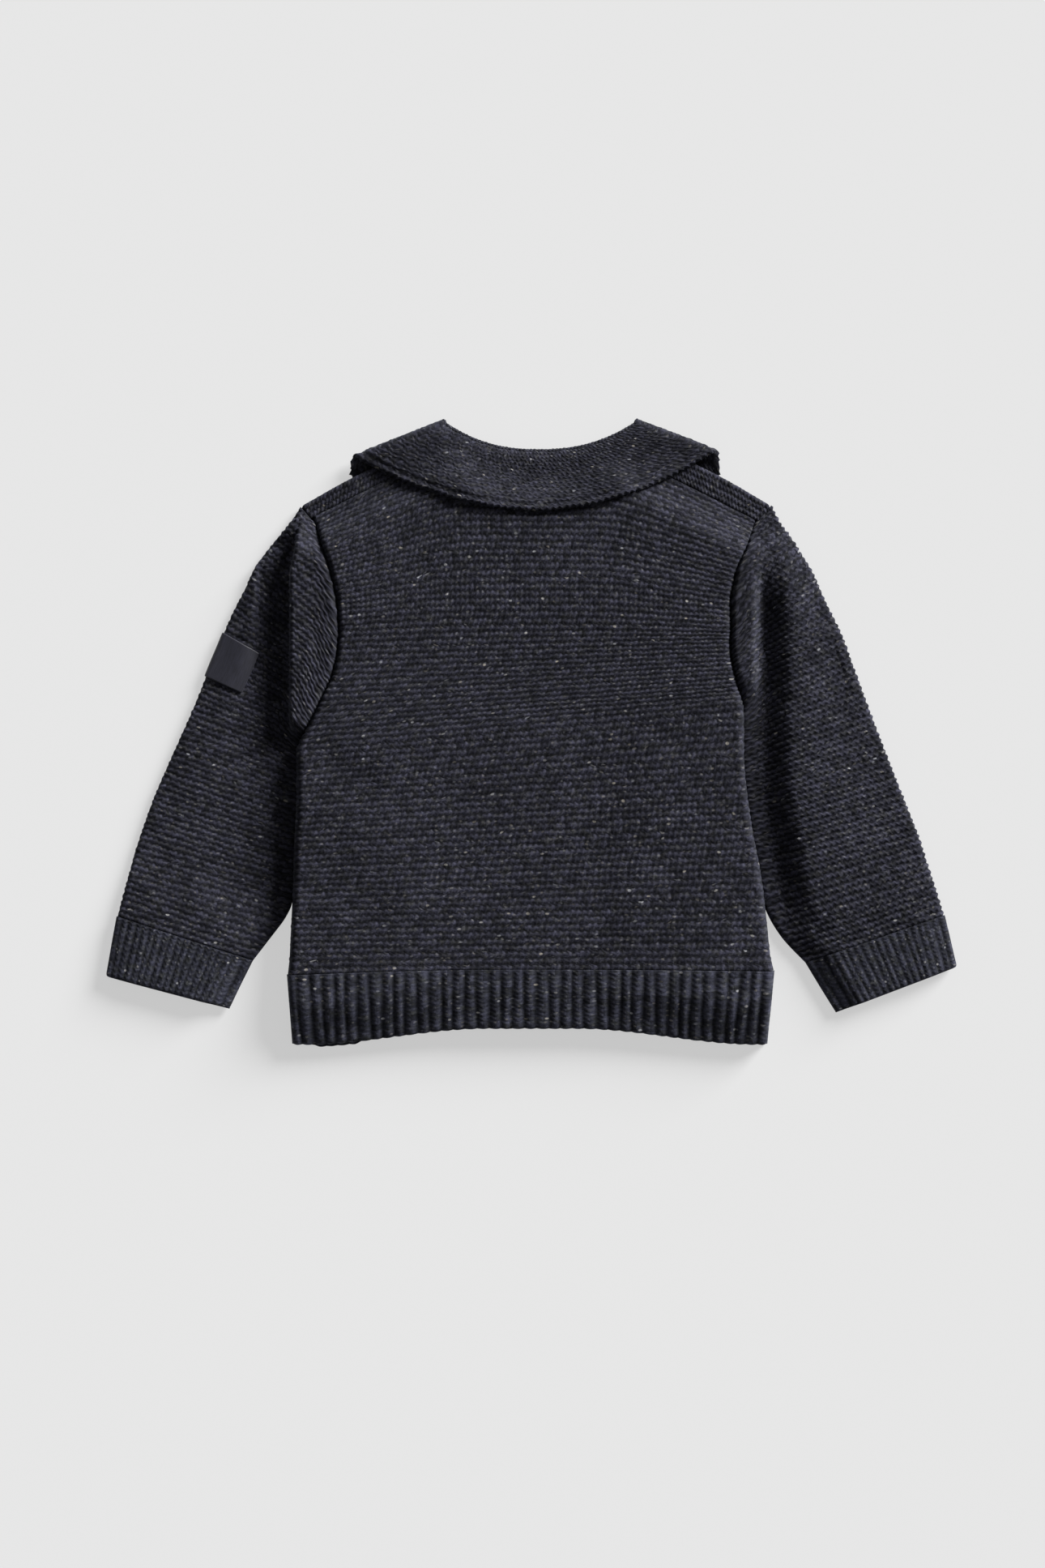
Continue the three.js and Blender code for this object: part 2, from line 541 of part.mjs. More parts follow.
// At the shoulder the stand turns round the side of the neck, and the fall round the shoulder
function collarTurnSection(collar, degrees) {
  const angle = THREE.MathUtils.degToRad(degrees);
  const neck = new THREE.Vector2(collar.neck[0], neckCurveY(collar.neck[0]));
  const roll = new THREE.Vector2(...collar.peak);
  const end = new THREE.Vector2(...collar.end);
  const along = end.clone().sub(roll).normalize();
  const fallNormal = new THREE.Vector2(-along.y * collar.side, along.x * collar.side);
  const turned = (top, bottom) => (x, y) => {
    const high = backLevel(x, y) + top;
    return (high + bottom) / 2 + (high - bottom) / 2 * Math.sin(angle);
  };
  const standOut = new THREE.Vector2(collar.side, 0).multiplyScalar(LAYER / 2 * Math.cos(angle));
  const fallOut = fallNormal.multiplyScalar(LAYER * 1.5 * Math.cos(angle));
  return collarSection(
    neck, roll, end, turned(0, HALF + LAYER), turned(LAYER, HALF), standOut, fallOut);
}

function collarWingSection(collar, up) {
  const side = collar.side;
  const place = (atV, finish) => new THREE.Vector2(
    lerp(side * atV, finish[0], up), lerp(V_POINT_Y + SEAM_GAP, finish[1], up));
  const neck = place(BAND_HALF_WIDTH, collar.neck);
  const roll = place(COLLAR.rollAtV, collar.peak);
  const end = place(COLLAR.fallAtV, collar.end);
  end.x += side * COLLAR.wingBulge * Math.sin(Math.PI * up);
  end.y -= Math.tan(WING_SLANT) * COLLAR.wingBulge * Math.sin(Math.PI * up);
  const standLevel = (x, y) => HALF + LAYER + wingLevel(collar, x, y);
  const fallLevel = (x, y) => HALF + wingLevel(collar, x, y);
  return collarSection(neck, roll, end, standLevel, fallLevel, NO_OFFSET, NO_OFFSET);
}

function collarCloth() {
  const wing = (collar) => steps(COLLAR.wingSections).slice(0, -1).map((up) => collarWingSection(collar, up));
  const turn = (collar) => COLLAR.turnAngles.map((degrees) => collarTurnSection(collar, degrees));
  const back = steps(COLLAR.backSections).slice(1, -1).map((share) => collarBackSection(2 * share - 1));
  const middle = [
    ...wing(COLLAR_LEFT), ...turn(COLLAR_LEFT).reverse(), ...back,
    ...turn(COLLAR_RIGHT), ...wing(COLLAR_RIGHT).reverse(),
  ];
  return cloth(middle, 1, () => HALF);
}

// Button bands, and the buttons under the outer one
function frontBand(level) {
  const rows = steps(BAND_ROWS).map((v) => steps(BAND_COLUMNS).map((u) => {
    const x = lerp(-BAND_HALF_WIDTH, BAND_HALF_WIDTH, u);
    const y = lerp(hemBottom(x, 0), V_POINT_Y, v);
    return new THREE.Vector3(x, y, level);
  }));
  return cloth(rows, 1, () => HALF);
}

function button() {
  const { radius, thickness, dish, rim, bevel } = BUTTON;
  const profile = [
    [0, dish], [radius - rim - bevel, dish], [radius - rim, 0], [radius - bevel, 0], [radius, bevel],
    [radius, thickness - bevel], [radius - bevel, thickness], [0, thickness],
  ].map(([x, y]) => new THREE.Vector2(x, y));
  return new THREE.LatheGeometry(profile, BUTTON.sides).rotateX(Math.PI / 2);
}

addMesh('back_panel', backPanel(), NAVY_KNIT);
addMesh('front_left', frontPanel(COLLAR_LEFT, frontLeftLevel), NAVY_KNIT);
addMesh('front_right', frontPanel(COLLAR_RIGHT, frontRightLevel), NAVY_KNIT);
addMesh('sleeve_left', sleeve(SLEEVE_LEFT_ROWS, -1, [LABEL.firstRow, LABEL.lastRow]), NAVY_KNIT);
addMesh('sleeve_right', sleeve(SLEEVE_RIGHT_ROWS, 1, []), NAVY_KNIT);
addMesh('cuff_left', cuff(CUFF_LEFT_ROWS, -1), NAVY_RIB);
addMesh('cuff_right', cuff(CUFF_RIGHT_ROWS, 1), NAVY_RIB);
addMesh('hem_rib_back', hemRibBack(), NAVY_RIB);
const hemLeft = hemRibFront(HEM.leftTop[0], -BAND_HALF_WIDTH - SEAM_GAP, HEM.frontLeftExtra, frontLeftLevel);
addMesh('hem_rib_front_left', hemLeft, NAVY_RIB);
const hemRight = hemRibFront(BAND_HALF_WIDTH + SEAM_GAP, HEM.rightTop[0], HEM.frontRightExtra, frontRightLevel);
addMesh('hem_rib_front_right', hemRight, NAVY_RIB);
addMesh('collar', collarCloth(), NAVY_COLLAR);
addMesh('front_band_left', frontBand(HALF + LAYER), NAVY_COLLAR);
addMesh('front_band_right', frontBand(HALF + 2 * LAYER), NAVY_COLLAR);
addMesh('sleeve_label', sleeveLabel(), LABEL_CLOTH);
for (let k = 0; k < BUTTON.count; k += 1) {
  addMesh(`button_${k + 1}`, button(), BUTTON_PLASTIC).position.set(0, BUTTON.topY - k * BUTTON.spacing, 0);
}

export default group;
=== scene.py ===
# %% [markdown]
# # A baby's shawl-collar cardigan, laid face down
#
# The real garment is knitted in thick flecked navy yarn: a back, two fronts and two sleeves in garter
# stitch, ribbed hem and cuffs, a shawl collar that is folded over the back, two button bands, and a
# small woven patch on one sleeve. It lies flat on a pale surface and is seen from straight above.
#
# Everything here is worked out in millimetres and turned into metres only when a mesh is written.
# +X runs to the wearer's right, +Y towards the collar and +Z up from the table.

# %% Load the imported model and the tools
import math

import bmesh
import bpy
import numpy as np
from mathutils import Matrix


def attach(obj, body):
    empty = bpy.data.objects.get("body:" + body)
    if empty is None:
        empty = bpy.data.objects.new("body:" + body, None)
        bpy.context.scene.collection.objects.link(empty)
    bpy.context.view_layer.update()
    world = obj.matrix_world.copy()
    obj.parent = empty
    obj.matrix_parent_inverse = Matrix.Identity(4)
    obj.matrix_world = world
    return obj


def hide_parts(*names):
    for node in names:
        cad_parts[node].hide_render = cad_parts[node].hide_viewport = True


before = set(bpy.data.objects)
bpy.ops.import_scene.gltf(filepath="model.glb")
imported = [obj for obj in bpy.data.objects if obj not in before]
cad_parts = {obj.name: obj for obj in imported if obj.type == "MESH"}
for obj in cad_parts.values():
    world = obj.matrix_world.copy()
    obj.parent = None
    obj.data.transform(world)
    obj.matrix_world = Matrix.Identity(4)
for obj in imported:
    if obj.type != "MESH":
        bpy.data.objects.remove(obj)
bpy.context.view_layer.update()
MM = 0.001
TAU = math.tau
print("nodes in the frame:", len(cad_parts))

# %% [markdown]
# ## Camera
#
# The photograph looks straight down. A long lens keeps the sleeves from spreading towards the edges
# of the picture. The distance follows from how much of the table the picture's height takes in.

# %% Camera above the table
MM_PER_PIXEL = 0.45
PICTURE = (1290, 1935)
GARMENT_ORIGIN_PIXEL = (656, 903.5)
LENS = 85
SENSOR = 36
CLOTH_TOP = 7

camera_data = bpy.data.cameras.new("camera_above")
camera_data.lens = LENS
camera_data.sensor_width = SENSOR
camera_data.dof.use_dof = False
camera = bpy.data.objects.new("camera_above", camera_data)
bpy.context.collection.objects.link(camera)
camera_height = PICTURE[1] * MM_PER_PIXEL * LENS / SENSOR + CLOTH_TOP
camera.location = (
    (PICTURE[0] / 2 - GARMENT_ORIGIN_PIXEL[0]) * MM_PER_PIXEL * MM,
    (GARMENT_ORIGIN_PIXEL[1] - PICTURE[1] / 2) * MM_PER_PIXEL * MM,
    camera_height * MM,
)
bpy.context.scene.camera = camera
print("camera is", round(camera_height), "mm above the table")

# %% [markdown]
# ## Table and light
#
# A pale even surface, one soft light from the upper right that comes in low enough to pick out the
# stitches, and a weaker even light from all round. The low light is a sun with a wide disc, because
# it lights the whole table evenly and still gives soft shadows, which fall to the lower left. The
# table glows, like the lit tables that shops take such pictures on, so that the shadows round the
# garment stay pale while the valleys in the cloth stay dark.

# %% Table
TABLE_SIZE = 6.0
TABLE_PAINT = 0.27
TABLE_GLOW = 0.53

table_mesh = bpy.data.meshes.new("table_top")
table_shape = bmesh.new()
bmesh.ops.create_grid(table_shape, x_segments=1, y_segments=1, size=TABLE_SIZE / 2)
table_shape.to_mesh(table_mesh)
table_shape.free()
table = bpy.data.objects.new("table_top", table_mesh)
bpy.context.collection.objects.link(table)

table_paint = bpy.data.materials.new("pale_table")
table_paint.use_nodes = True
table_surface = table_paint.node_tree.nodes["Principled BSDF"]
table_surface.inputs["Base Color"].default_value = (TABLE_PAINT,) * 3 + (1,)
table_surface.inputs["Emission Color"].default_value = (1, 1, 1, 1)
table_surface.inputs["Emission Strength"].default_value = TABLE_GLOW
table_surface.inputs["Roughness"].default_value = 0.9
table_surface.inputs["Specular IOR Level"].default_value = 0.1
table_mesh.materials.append(table_paint)

# %% Light
WINDOW = {"elevation": 20, "from_right": 43, "disc": 26, "strength": 7.5}
SKY_STRENGTH = 0.16

window_data = bpy.data.lights.new("soft_window", "SUN")
window_data.angle = math.radians(WINDOW["disc"])
window_data.energy = WINDOW["strength"]
window = bpy.data.objects.new("soft_window", window_data)
window.rotation_euler = (
    0, math.radians(90 - WINDOW["elevation"]), math.radians(WINDOW["from_right"]))
bpy.context.collection.objects.link(window)

world = bpy.data.worlds.new("pale_room")
world.use_nodes = True
world.node_tree.nodes["Background"].inputs["Color"].default_value = (1, 1, 1, 1)
world.node_tree.nodes["Background"].inputs["Strength"].default_value = SKY_STRENGTH
bpy.context.scene.world = world
bpy.context.scene.view_settings.view_transform = "Standard"

# %% [markdown]
# ## Small sums used all over
#
# Every surface is a formula that takes many points at once, so these helpers work on whole arrays.
# `along_rows` draws a smooth curve through the rows of a table, which takes the corners off the
# garment's outline.

# %% Blends and smooth curves
LEAST_LENGTH = 1e-12


def lerp(start, end, share):
    return start + (end - start) * share


def smoothstep(value, low, high):
    share = np.clip((value - low) / (high - low), 0, 1)
    return share * share * (3 - 2 * share)


def along_rows(table, position, *columns):
    """The rows of a table, or the given columns of them, joined by a smooth curve."""
    last = len(table) - 1
    first = np.clip(np.floor(position).astype(int), 0, last - 1)
    share = (position - first)[..., None]
    rows = [np.clip(first + step, 0, last) for step in (-1, 0, 1, 2)]
    before, start, end, after = [table[(row, *columns)] for row in rows]
    slope_start = (end - before) / 2
    slope_end = (after - start) / 2
    return (
        start + slope_start * share
        + (3 * (end - start) - 2 * slope_start - slope_end) * share ** 2
        + (2 * (start - end) + slope_start + slope_end) * share ** 3)


def stacked(x, y, z):
    return np.stack(np.broadcast_arrays(x, y, z), axis=-1).astype(float)


def units(vectors):
    """Vectors of length one that point the same way."""
    return vectors / np.maximum(np.linalg.norm(vectors, axis=-1, keepdims=True), LEAST_LENGTH)


# %% [markdown]
# ## Layers of cloth on the table
#
# The fronts lie on the table, then come the collar's wings and the two button bands, then the back,
# and the collar's fall on top. Each surface is the middle of a wall of cloth, and each layer is a
# fixed step above the one below. Over the bands the cloth rises in a low broad crown.

# %% Height of each layer
HALF = 1.0
LAYER = 2.4
BAND_HALF_WIDTH = 15
V_POINT_Y = 30
WING_SLANT = 0.6
RAMP_START = 6
FRONT_RAMP = 36
BACK_RAMP = 90
BACK_RAMP_ROWS = (20, 90)
NECK_HALF_WIDTH = 50
NECK_TOP_Y = 162.2
NECK_SAG = {"depth": 1.2, "rows": (60, 100), "middle_x": 3, "flat_share": 0.2}
LEAST_OPENING = 0.1


def lift(x, y, ramp_end):
    """1 where cloth lies over a wing or a band, and 0 from ramp_end beside it."""
    beside_band = np.abs(x) - BAND_HALF_WIDTH
    beside_wing = beside_band * math.cos(WING_SLANT) - (y - V_POINT_Y) * math.sin(WING_SLANT)
    return 1 - smoothstep(np.minimum(beside_band, beside_wing), RAMP_START, ramp_end)


def inner_band_lift(x, y, ramp_end):
    """The same for the inner band alone, which ends at the point of the V."""
    beside_band = 1 - smoothstep(np.abs(x) - BAND_HALF_WIDTH, RAMP_START / 2, ramp_end)
    below_v = 1 - smoothstep(y, V_POINT_Y + RAMP_START / 2, V_POINT_Y + ramp_end)
    return beside_band * below_v


def front_left_level(x, y):
    return HALF + LAYER * lift(x, y, FRONT_RAMP)


def front_right_level(x, y):
    return HALF + LAYER * (lift(x, y, FRONT_RAMP) + inner_band_lift(x, y, FRONT_RAMP))


def back_level(x, y):
    """The back lies over wings and bands, and sags a little over the open neck."""
    ramp = lerp(BACK_RAMP, FRONT_RAMP, smoothstep(y, *BACK_RAMP_ROWS))
    opening = NECK_HALF_WIDTH * np.clip((y - V_POINT_Y) / (NECK_TOP_Y - V_POINT_Y), 0, 1)
    opening = np.maximum(opening, LEAST_OPENING)
    beside = smoothstep(np.abs(x - NECK_SAG["middle_x"]), NECK_SAG["flat_share"] * opening, opening)
    sag = NECK_SAG["depth"] * smoothstep(y, *NECK_SAG["rows"]) * (1 - beside)
    return HALF + LAYER * (1 + lift(x, y, ramp) + inner_band_lift(x, y, ramp)) - sag


# %% [markdown]
# The hem and the sides of the body come next, because the height of the back depends on how far a
# point lies from them. The sides are in the order that a knitter works: from the hem up.

# %% Outline of the hem and the body
HEM = {
    "left_top": (-136.2, -134.8), "right_top": (135.4, -132.6), "middle_top_y": -131.6,
    "left_bottom_x": -133.2, "right_bottom_x": 131.4,
    "bottom_y": -164.2, "side_drop": 9, "drop_start": 25, "drop_end": 125,
}
BODY_ROWS = np.array([
    # left x, left y, right x, right y, from the hem up to the shoulder
    (-135.6, -134.4, 134.9, -132.3),
    (-134.2, -115.0, 131.6, -110.0),
    (-133.0, -90.2, 128.1, -80.8),
    (-132.2, -62.8, 122.4, -49.7),
    (-130.9, -36.7, 118.8, -20.0),
    (-130.8, -9.2, 118.0, 13.7),
    (-120.2, 12.4, 114.2, 28.6),
    (-111.6, 30.4, 111.4, 41.2),
    (-108.4, 43.0, 110.9, 49.5),
    (-107.2, 56.5, 111.4, 57.8),
    (-108.6, 74.0, 111.2, 74.0),
    (-112.6, 90.7, 114.4, 90.2),
    (-117.2, 104.0, 120.4, 104.0),
    (-121.1, 116.8, 124.7, 116.3),
])
BODY_LAST = len(BODY_ROWS) - 1
NECK_MIDDLE = (4, 143.3)
NECK_CURVE = 0.0074
SHOULDER_SEAM = {"at_neck_y": 155, "slope": 0.5, "start_x": 50}


def hem_bottom(x, extra=0):
    drop = smoothstep(np.abs(x), HEM["drop_start"], HEM["drop_end"])
    return HEM["bottom_y"] - extra - HEM["side_drop"] * drop


def hem_top(x):
    side_x = np.where(x < 0, HEM["left_top"][0], HEM["right_top"][0])
    side_y = np.where(x < 0, HEM["left_top"][1], HEM["right_top"][1])
    return lerp(HEM["middle_top_y"], side_y, (x / side_x) ** 2)


def shoulder_seam_y(x):
    return SHOULDER_SEAM["at_neck_y"] - SHOULDER_SEAM["slope"] * (np.abs(x) - SHOULDER_SEAM["start_x"])


def neck_curve_y(x):
    return NECK_MIDDLE[1] + NECK_CURVE * (x - NECK_MIDDLE[0]) ** 2


# %% [markdown]
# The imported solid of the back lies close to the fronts. The real cloth has air under it: it stands up
# to 12 mm higher, rolls over at the side seams, and comes down again to the shoulder seams, the neck
# and the hem. Below the armholes the side seams hold its sides down on the fronts. The rolled sides
# throw the dark valleys between the body and the sleeves.

# %% Fullness of the back
FULLNESS = 12.0
SIDE_ROLL = {"below_underarm": 3.6, "at_armhole": 3.0}
UNDERARM_ROWS = (-14, 26)
SHOULDER_FADE = (-2, 26)
HEM_FADE = (0, 26)
HEM_SHARE = 0.4
UNDER_CROWN = 0.55
SIDE_PINCH = 1.0
HEM_SIDE_Y = HEM["bottom_y"] - HEM["side_drop"]
SIDE_ROWS = np.vstack([
    (HEM["left_bottom_x"], HEM_SIDE_Y, HEM["right_bottom_x"], HEM_SIDE_Y),
    BODY_ROWS,
])


def back_fullness(x, y):
    """How much higher than its solid the back stands."""
    from_side = np.minimum(
        x - np.interp(y, SIDE_ROWS[:, 1], SIDE_ROWS[:, 0]),
        np.interp(y, SIDE_ROWS[:, 3], SIDE_ROWS[:, 2]) - x)
    at_armhole = smoothstep(y, *UNDERARM_ROWS)
    reach = lerp(SIDE_ROLL["below_underarm"], SIDE_ROLL["at_armhole"], at_armhole)
    roll = np.sin(math.pi / 2 * np.clip(from_side / reach, 0, 1))
    from_top = np.minimum(shoulder_seam_y(x), neck_curve_y(x)) - y
    at_top = smoothstep(from_top, *SHOULDER_FADE)
    at_hem = lerp(HEM_SHARE, 1, smoothstep(y - hem_bottom(x), *HEM_FADE))
    crown = np.clip((back_level(x, y) - HALF - LAYER) / (2 * LAYER), 0, 1)
    pinch = SIDE_PINCH * (1 - roll) * (1 - at_armhole)
    return FULLNESS * roll * at_top * at_hem * (1 - UNDER_CROWN * crown) - pinch


def full_back_level(x, y):
    return back_level(x, y) + back_fullness(x, y)


# %% [markdown]
# Soft creases are placed one by one. Each is a line across the cloth with a width and a height, which
# is below zero for a trough, and it fades out towards both its ends.

# %% Creases on the back
BACK_CREASES = [
    # from (x, y), to (x, y), width, height
    ((-128, -6), (-78, -34), 9, -0.8),
    ((-130, -30), (-92, -62), 12, 0.7),
    ((116, 8), (72, -22), 10, -0.7),
    ((121, -28), (88, -66), 13, 0.6),
    ((-104, 62), (-70, 96), 11, 0.6),
    ((-66, -112), (-88, -48), 14, 0.6),
    ((54, -116), (70, -60), 15, 0.6),
    ((106, 74), (72, 104), 10, -0.5),
]
CREASE_STARTS = (-0.15, 0.3)
CREASE_ENDS = (0.6, 1.15)


def crease_height(x, y, creases):
    total = np.zeros(np.shape(x))
    for start, end, width, height in creases:
        run = np.subtract(end, start)
        share = ((x - start[0]) * run[0] + (y - start[1]) * run[1]) / np.dot(run, run)
        beside = ((x - start[0]) * run[1] - (y - start[1]) * run[0]) / math.hypot(*run)
        fade = smoothstep(share, *CREASE_STARTS) * (1 - smoothstep(share, *CREASE_ENDS))
        total += height * fade * np.exp(-(beside / width) ** 2)
    return total


# %% [markdown]
# ## A wall of knitted cloth
#
# Every knitted piece is made in the same way. Two grids, a fine one for the right side and a coarse
# one for the wrong side, are bridged at their rims into one closed slab. Each point of the slab then
# goes to its place on the piece's surface. The right side is lifted by the height of the stitches, so
# that ridges and ribs are real shape and show on the outline. The wall thins over the last 3 mm to its
# edges, but where a piece is sewn on to the next one it stays nearly as thick as it is.
#
# A Solidify modifier would spend half of its faces on the hidden side, and a flat sheet with bump
# alone would lose the ridged outline of the sleeves.

# %% Rims of a wall
OUTER = 0.8
INNER = 0.8
EDGE_ROUND = 3.0
RIM_SHARE = 0.15
SEAM_FLAT = 2.0
SEWN_ENDS = (1, 1)
SEWN_START = (1, 0)


def rim_curve(u, v, size, radius, sewn=(0, 0)):
    """0 at a piece's rims and 1 inside, along a quarter of a circle. It is 1 sooner where the start
    or the end of the piece is sewn on to the next one, because the wall stays thick there."""
    side = np.minimum(u, 1 - u) * size[0]
    end = np.minimum(v * size[1] + SEAM_FLAT * sewn[0], (1 - v) * size[1] + SEAM_FLAT * sewn[1])
    inside = np.clip(1 - np.minimum(side, end) / radius, 0, 1)
    return np.sqrt(1 - inside ** 2)


def rounded(height, u, v, size, sewn=(0, 0)):
    """Thins a wall towards its rims."""
    share = lerp(RIM_SHARE, 1, rim_curve(u, v, size, EDGE_ROUND, sewn))
    return lerp(-INNER, height, share)


# %% Wall on a surface
COARSER = 8
SLOPE_STEP = 0.002


def slab(across, along):
    """A closed slab one unit wide and long: u and v run over it, and its right side is up."""
    shape = bmesh.new()
    for height, divide in ((1, 1), (0, COARSER)):
        bmesh.ops.create_grid(
            shape, x_segments=across // divide, y_segments=along // divide, size=0.5,
            matrix=Matrix.Translation((0.5, 0.5, height)))
    rims = [edge for edge in shape.edges if edge.is_boundary]
    bmesh.ops.bridge_loops(shape, edges=rims)
    bmesh.ops.recalc_face_normals(shape, faces=shape.faces)
    return shape


def surface_normals(place, u, v, step):
    """Direction that each point of a surface faces, from its neighbours on both sides."""
    along_u = place(np.minimum(u + step, 1), v) - place(np.maximum(u - step, 0), v)
    along_v = place(u, np.minimum(v + step, 1)) - place(u, np.maximum(v - step, 0))
    return units(np.cross(along_u, along_v))


def knitted_wall(name, place, height, knit, grid, facing, inner=-INNER, step=SLOPE_STEP):
    """A closed wall on the surface that place gives, with its right side at the given height.

    knit gives the place in the knitting: stitches along a row, and rows. It becomes the UV map."""
    shape = slab(*grid)
    mesh = bpy.data.meshes.new(name)
    shape.to_mesh(mesh)
    shape.free()
    points = np.empty(len(mesh.vertices) * 3)
    mesh.vertices.foreach_get("co", points)
    u, v, side = points.reshape(-1, 3).T
    normal = surface_normals(place, u, v, step) * facing
    distance = np.where(side > 0.5, height(u, v), inner)
    placed = place(u, v) + normal * distance[:, None]
    placed[:, 2] = np.maximum(placed[:, 2], 0)  # no cloth goes through the table
    mesh.vertices.foreach_set("co", (placed * MM).ravel())
    if facing < 0:
        mesh.flip_normals()
    corner_points = np.empty(len(mesh.loops), dtype=int)
    mesh.loops.foreach_get("vertex_index", corner_points)
    knit_map = np.stack(knit(u, v), axis=-1)[corner_points]
    mesh.uv_layers.new(name="knit").data.foreach_set("uv", knit_map.ravel())
    mesh.shade_smooth()
    mesh.update()
    piece = bpy.data.objects.new(name, mesh)
    bpy.context.collection.objects.link(piece)
    print(f"{name}: {sum(len(face.vertices) - 2 for face in mesh.polygons)} triangles")
    return piece


# %% Area and length of a surface
AREA_SAMPLES = 80
LENGTH_SAMPLES = 600


def cut_area(place):
    """Area of a surface in square metres, measured on an even grid."""
    shares = np.linspace(0, 1, AREA_SAMPLES)
    points = place(*np.meshgrid(shares, shares)) * MM
    one = points[1:, 1:] - points[:-1, :-1]
    other = points[1:, :-1] - points[:-1, 1:]
    return float(np.linalg.norm(np.cross(one, other), axis=-1).sum() / 2)


def even_rows(place_at, last, u_at=0.5, first=0):
    """Turns a share of a piece's length into a position in its table, with rows evenly apart, and
    gives that length too."""
    positions = np.linspace(first, last, LENGTH_SAMPLES)
    points = place_at(np.full(LENGTH_SAMPLES, u_at), positions)
    gaps = np.linalg.norm(np.diff(points, axis=0), axis=-1)
    run = np.concatenate([[0], np.cumsum(gaps)])
    return (lambda v: np.interp(v, run / run[-1], positions)), run[-1]


# %% [markdown]
# ## Stitches
#
# Garter stitch shows as ridges across the cloth. Each ridge is a chain of little arcs, so it waves a
# little and carries a bead for each stitch. Ribs run the other way, with a faint V for each stitch.
# No two stitches are quite alike: their heights are a little uneven, the ridges and ribs wander, and
# each row's stitches start somewhere else.

# %% Heights of garter stitch
RIDGE_PITCH = 3.42
STITCH_PITCH = 3.2
ROWS_PER_RIDGE = 4
COLUMNS_PER_STITCH = 3
RELIEF = 0.75
GROUND = 0.55
WAVE = 0.14
BEAD = 0.6
UNEVEN = 0.5
WANDER = 0.07
GARTER_WAVES = ((1, 0.9, 1.3), (1, 2.3, -2.6))
MIX = (12.9898, 78.233, 43758.5453)


def uneven(one, other):
    """A steady value from 0 to 1 for each pair of whole numbers, with no visible pattern."""
    mixed = np.sin(np.floor(one) * MIX[0] + np.floor(other) * MIX[1]) * MIX[2]
    return mixed - np.floor(mixed)


def waves(one, other, table):
    """A sum of slanting waves. Each is its height, and how fast it turns along one and other."""
    return sum(
        height * np.sin(along_one * one + along_other * other)
        for height, along_one, along_other in table)


def wandering(stitch, ridge, amount=WANDER):
    """Place in garter stitch whose ridges wander and whose rows start unevenly."""
    ridge = ridge + amount * waves(stitch, ridge, GARTER_WAVES)
    return stitch + uneven(ridge, 0), ridge


def garter(stitch, ridge, beading=BEAD, wave=WAVE):
    """Height of garter stitch over the middle of the cloth."""
    crest = 0.5 - 0.5 * np.cos(TAU * (ridge + wave * np.sin(TAU * stitch)))
    bead = 1 - beading * (0.5 + 0.5 * np.cos(TAU * stitch)) * crest
    bead = bead * (1 - UNEVEN * uneven(stitch, ridge) * crest)
    return OUTER + RELIEF * (crest * bead - GROUND)


# %% Heights of ribs
RIB_STITCH = 2.7
RIB_OUTER = 1.25
RIB_RELIEF = 1.1
RIB_GROUND = 0.66
RIB_SHARPNESS = 1.2
CHEVRON = 0.05
CHEVRON_SLANT = 0.6
RIB_WAVES = ((0.07, 1.3, 0.11), (0.05, 2.9, -0.23))


def rib_wandering(rib, stitch):
    """Place in rib stitch whose ribs lean and swell a little."""
    return rib + waves(rib, stitch, RIB_WAVES), stitch


def ribs(rib, stitch, relief=RIB_RELIEF):
    """Height of one-by-one rib: round ribs, grooves between them, and a faint V for each stitch."""
    across = rib - np.floor(rib)
    crest = np.sin(math.pi * across) ** RIB_SHARPNESS
    chevron = np.cos(TAU * (stitch + CHEVRON_SLANT * np.abs(across - 0.5)))
    return RIB_OUTER + relief * (crest - RIB_GROUND) + CHEVRON * chevron * crest


# %% [markdown]
# ## Yarn
#
# The yarn is dark navy wool with lighter and darker fibres and a few pale flecks. Three node groups
# share the work. `garter_face` and `rib_face` turn the place in the knitting into the height of one
# stitch and a mask of its grooves, and `flecked_yarn` gives the fibres, the uneven dye, the flecks
# and a painted shade that darkens the colour in the grooves. They read the UV map named knit, so the
# pattern follows each piece round its folds.

# %% Node helpers
def add_node(tree, kind, inputs=None, **settings):
    node = tree.nodes.new(kind)
    for name, value in settings.items():
        setattr(node, name, value)
    for name, value in (inputs or {}).items():
        if isinstance(value, bpy.types.NodeSocket):
            tree.links.new(value, node.inputs[name])
        else:
            node.inputs[name].default_value = value
    return node


def maths(tree, operation, *values):
    return add_node(tree, "ShaderNodeMath", dict(enumerate(values)), operation=operation).outputs[0]


def product(tree, value, *factors):
    for factor in factors:
        value = maths(tree, "MULTIPLY", value, factor)
    return value


def scaled(tree, vector, factors):
    inputs = {0: vector, 1: factors}
    return add_node(tree, "ShaderNodeVectorMath", inputs, operation="MULTIPLY").outputs[0]


def shaded(tree, colour, light):
    inputs = {0: colour, "Scale": light}
    return add_node(tree, "ShaderNodeVectorMath", inputs, operation="SCALE").outputs[0]


def ranged(tree, value, source, target):
    inputs = {
        "Value": value, "From Min": source[0], "From Max": source[1],
        "To Min": target[0], "To Max": target[1],
    }
    return add_node(tree, "ShaderNodeMapRange", inputs).outputs["Result"]


def noise(tree, place, detail, roughness=0.5, scale=1.0):
    inputs = {"Vector": place, "Scale": scale, "Detail": detail, "Roughness": roughness}
    return add_node(tree, "ShaderNodeTexNoise", inputs).outputs["Fac"]


def mixed_colour(tree, factor, one, other):
    inputs = {0: factor, 6: one, 7: other}
    return add_node(tree, "ShaderNodeMix", inputs, data_type="RGBA").outputs[2]


def bumped(tree, height, distance, strength, **normal):
    inputs = {"Height": height, "Distance": distance * MM, "Strength": strength, **normal}
    return add_node(tree, "ShaderNodeBump", inputs).outputs[0]


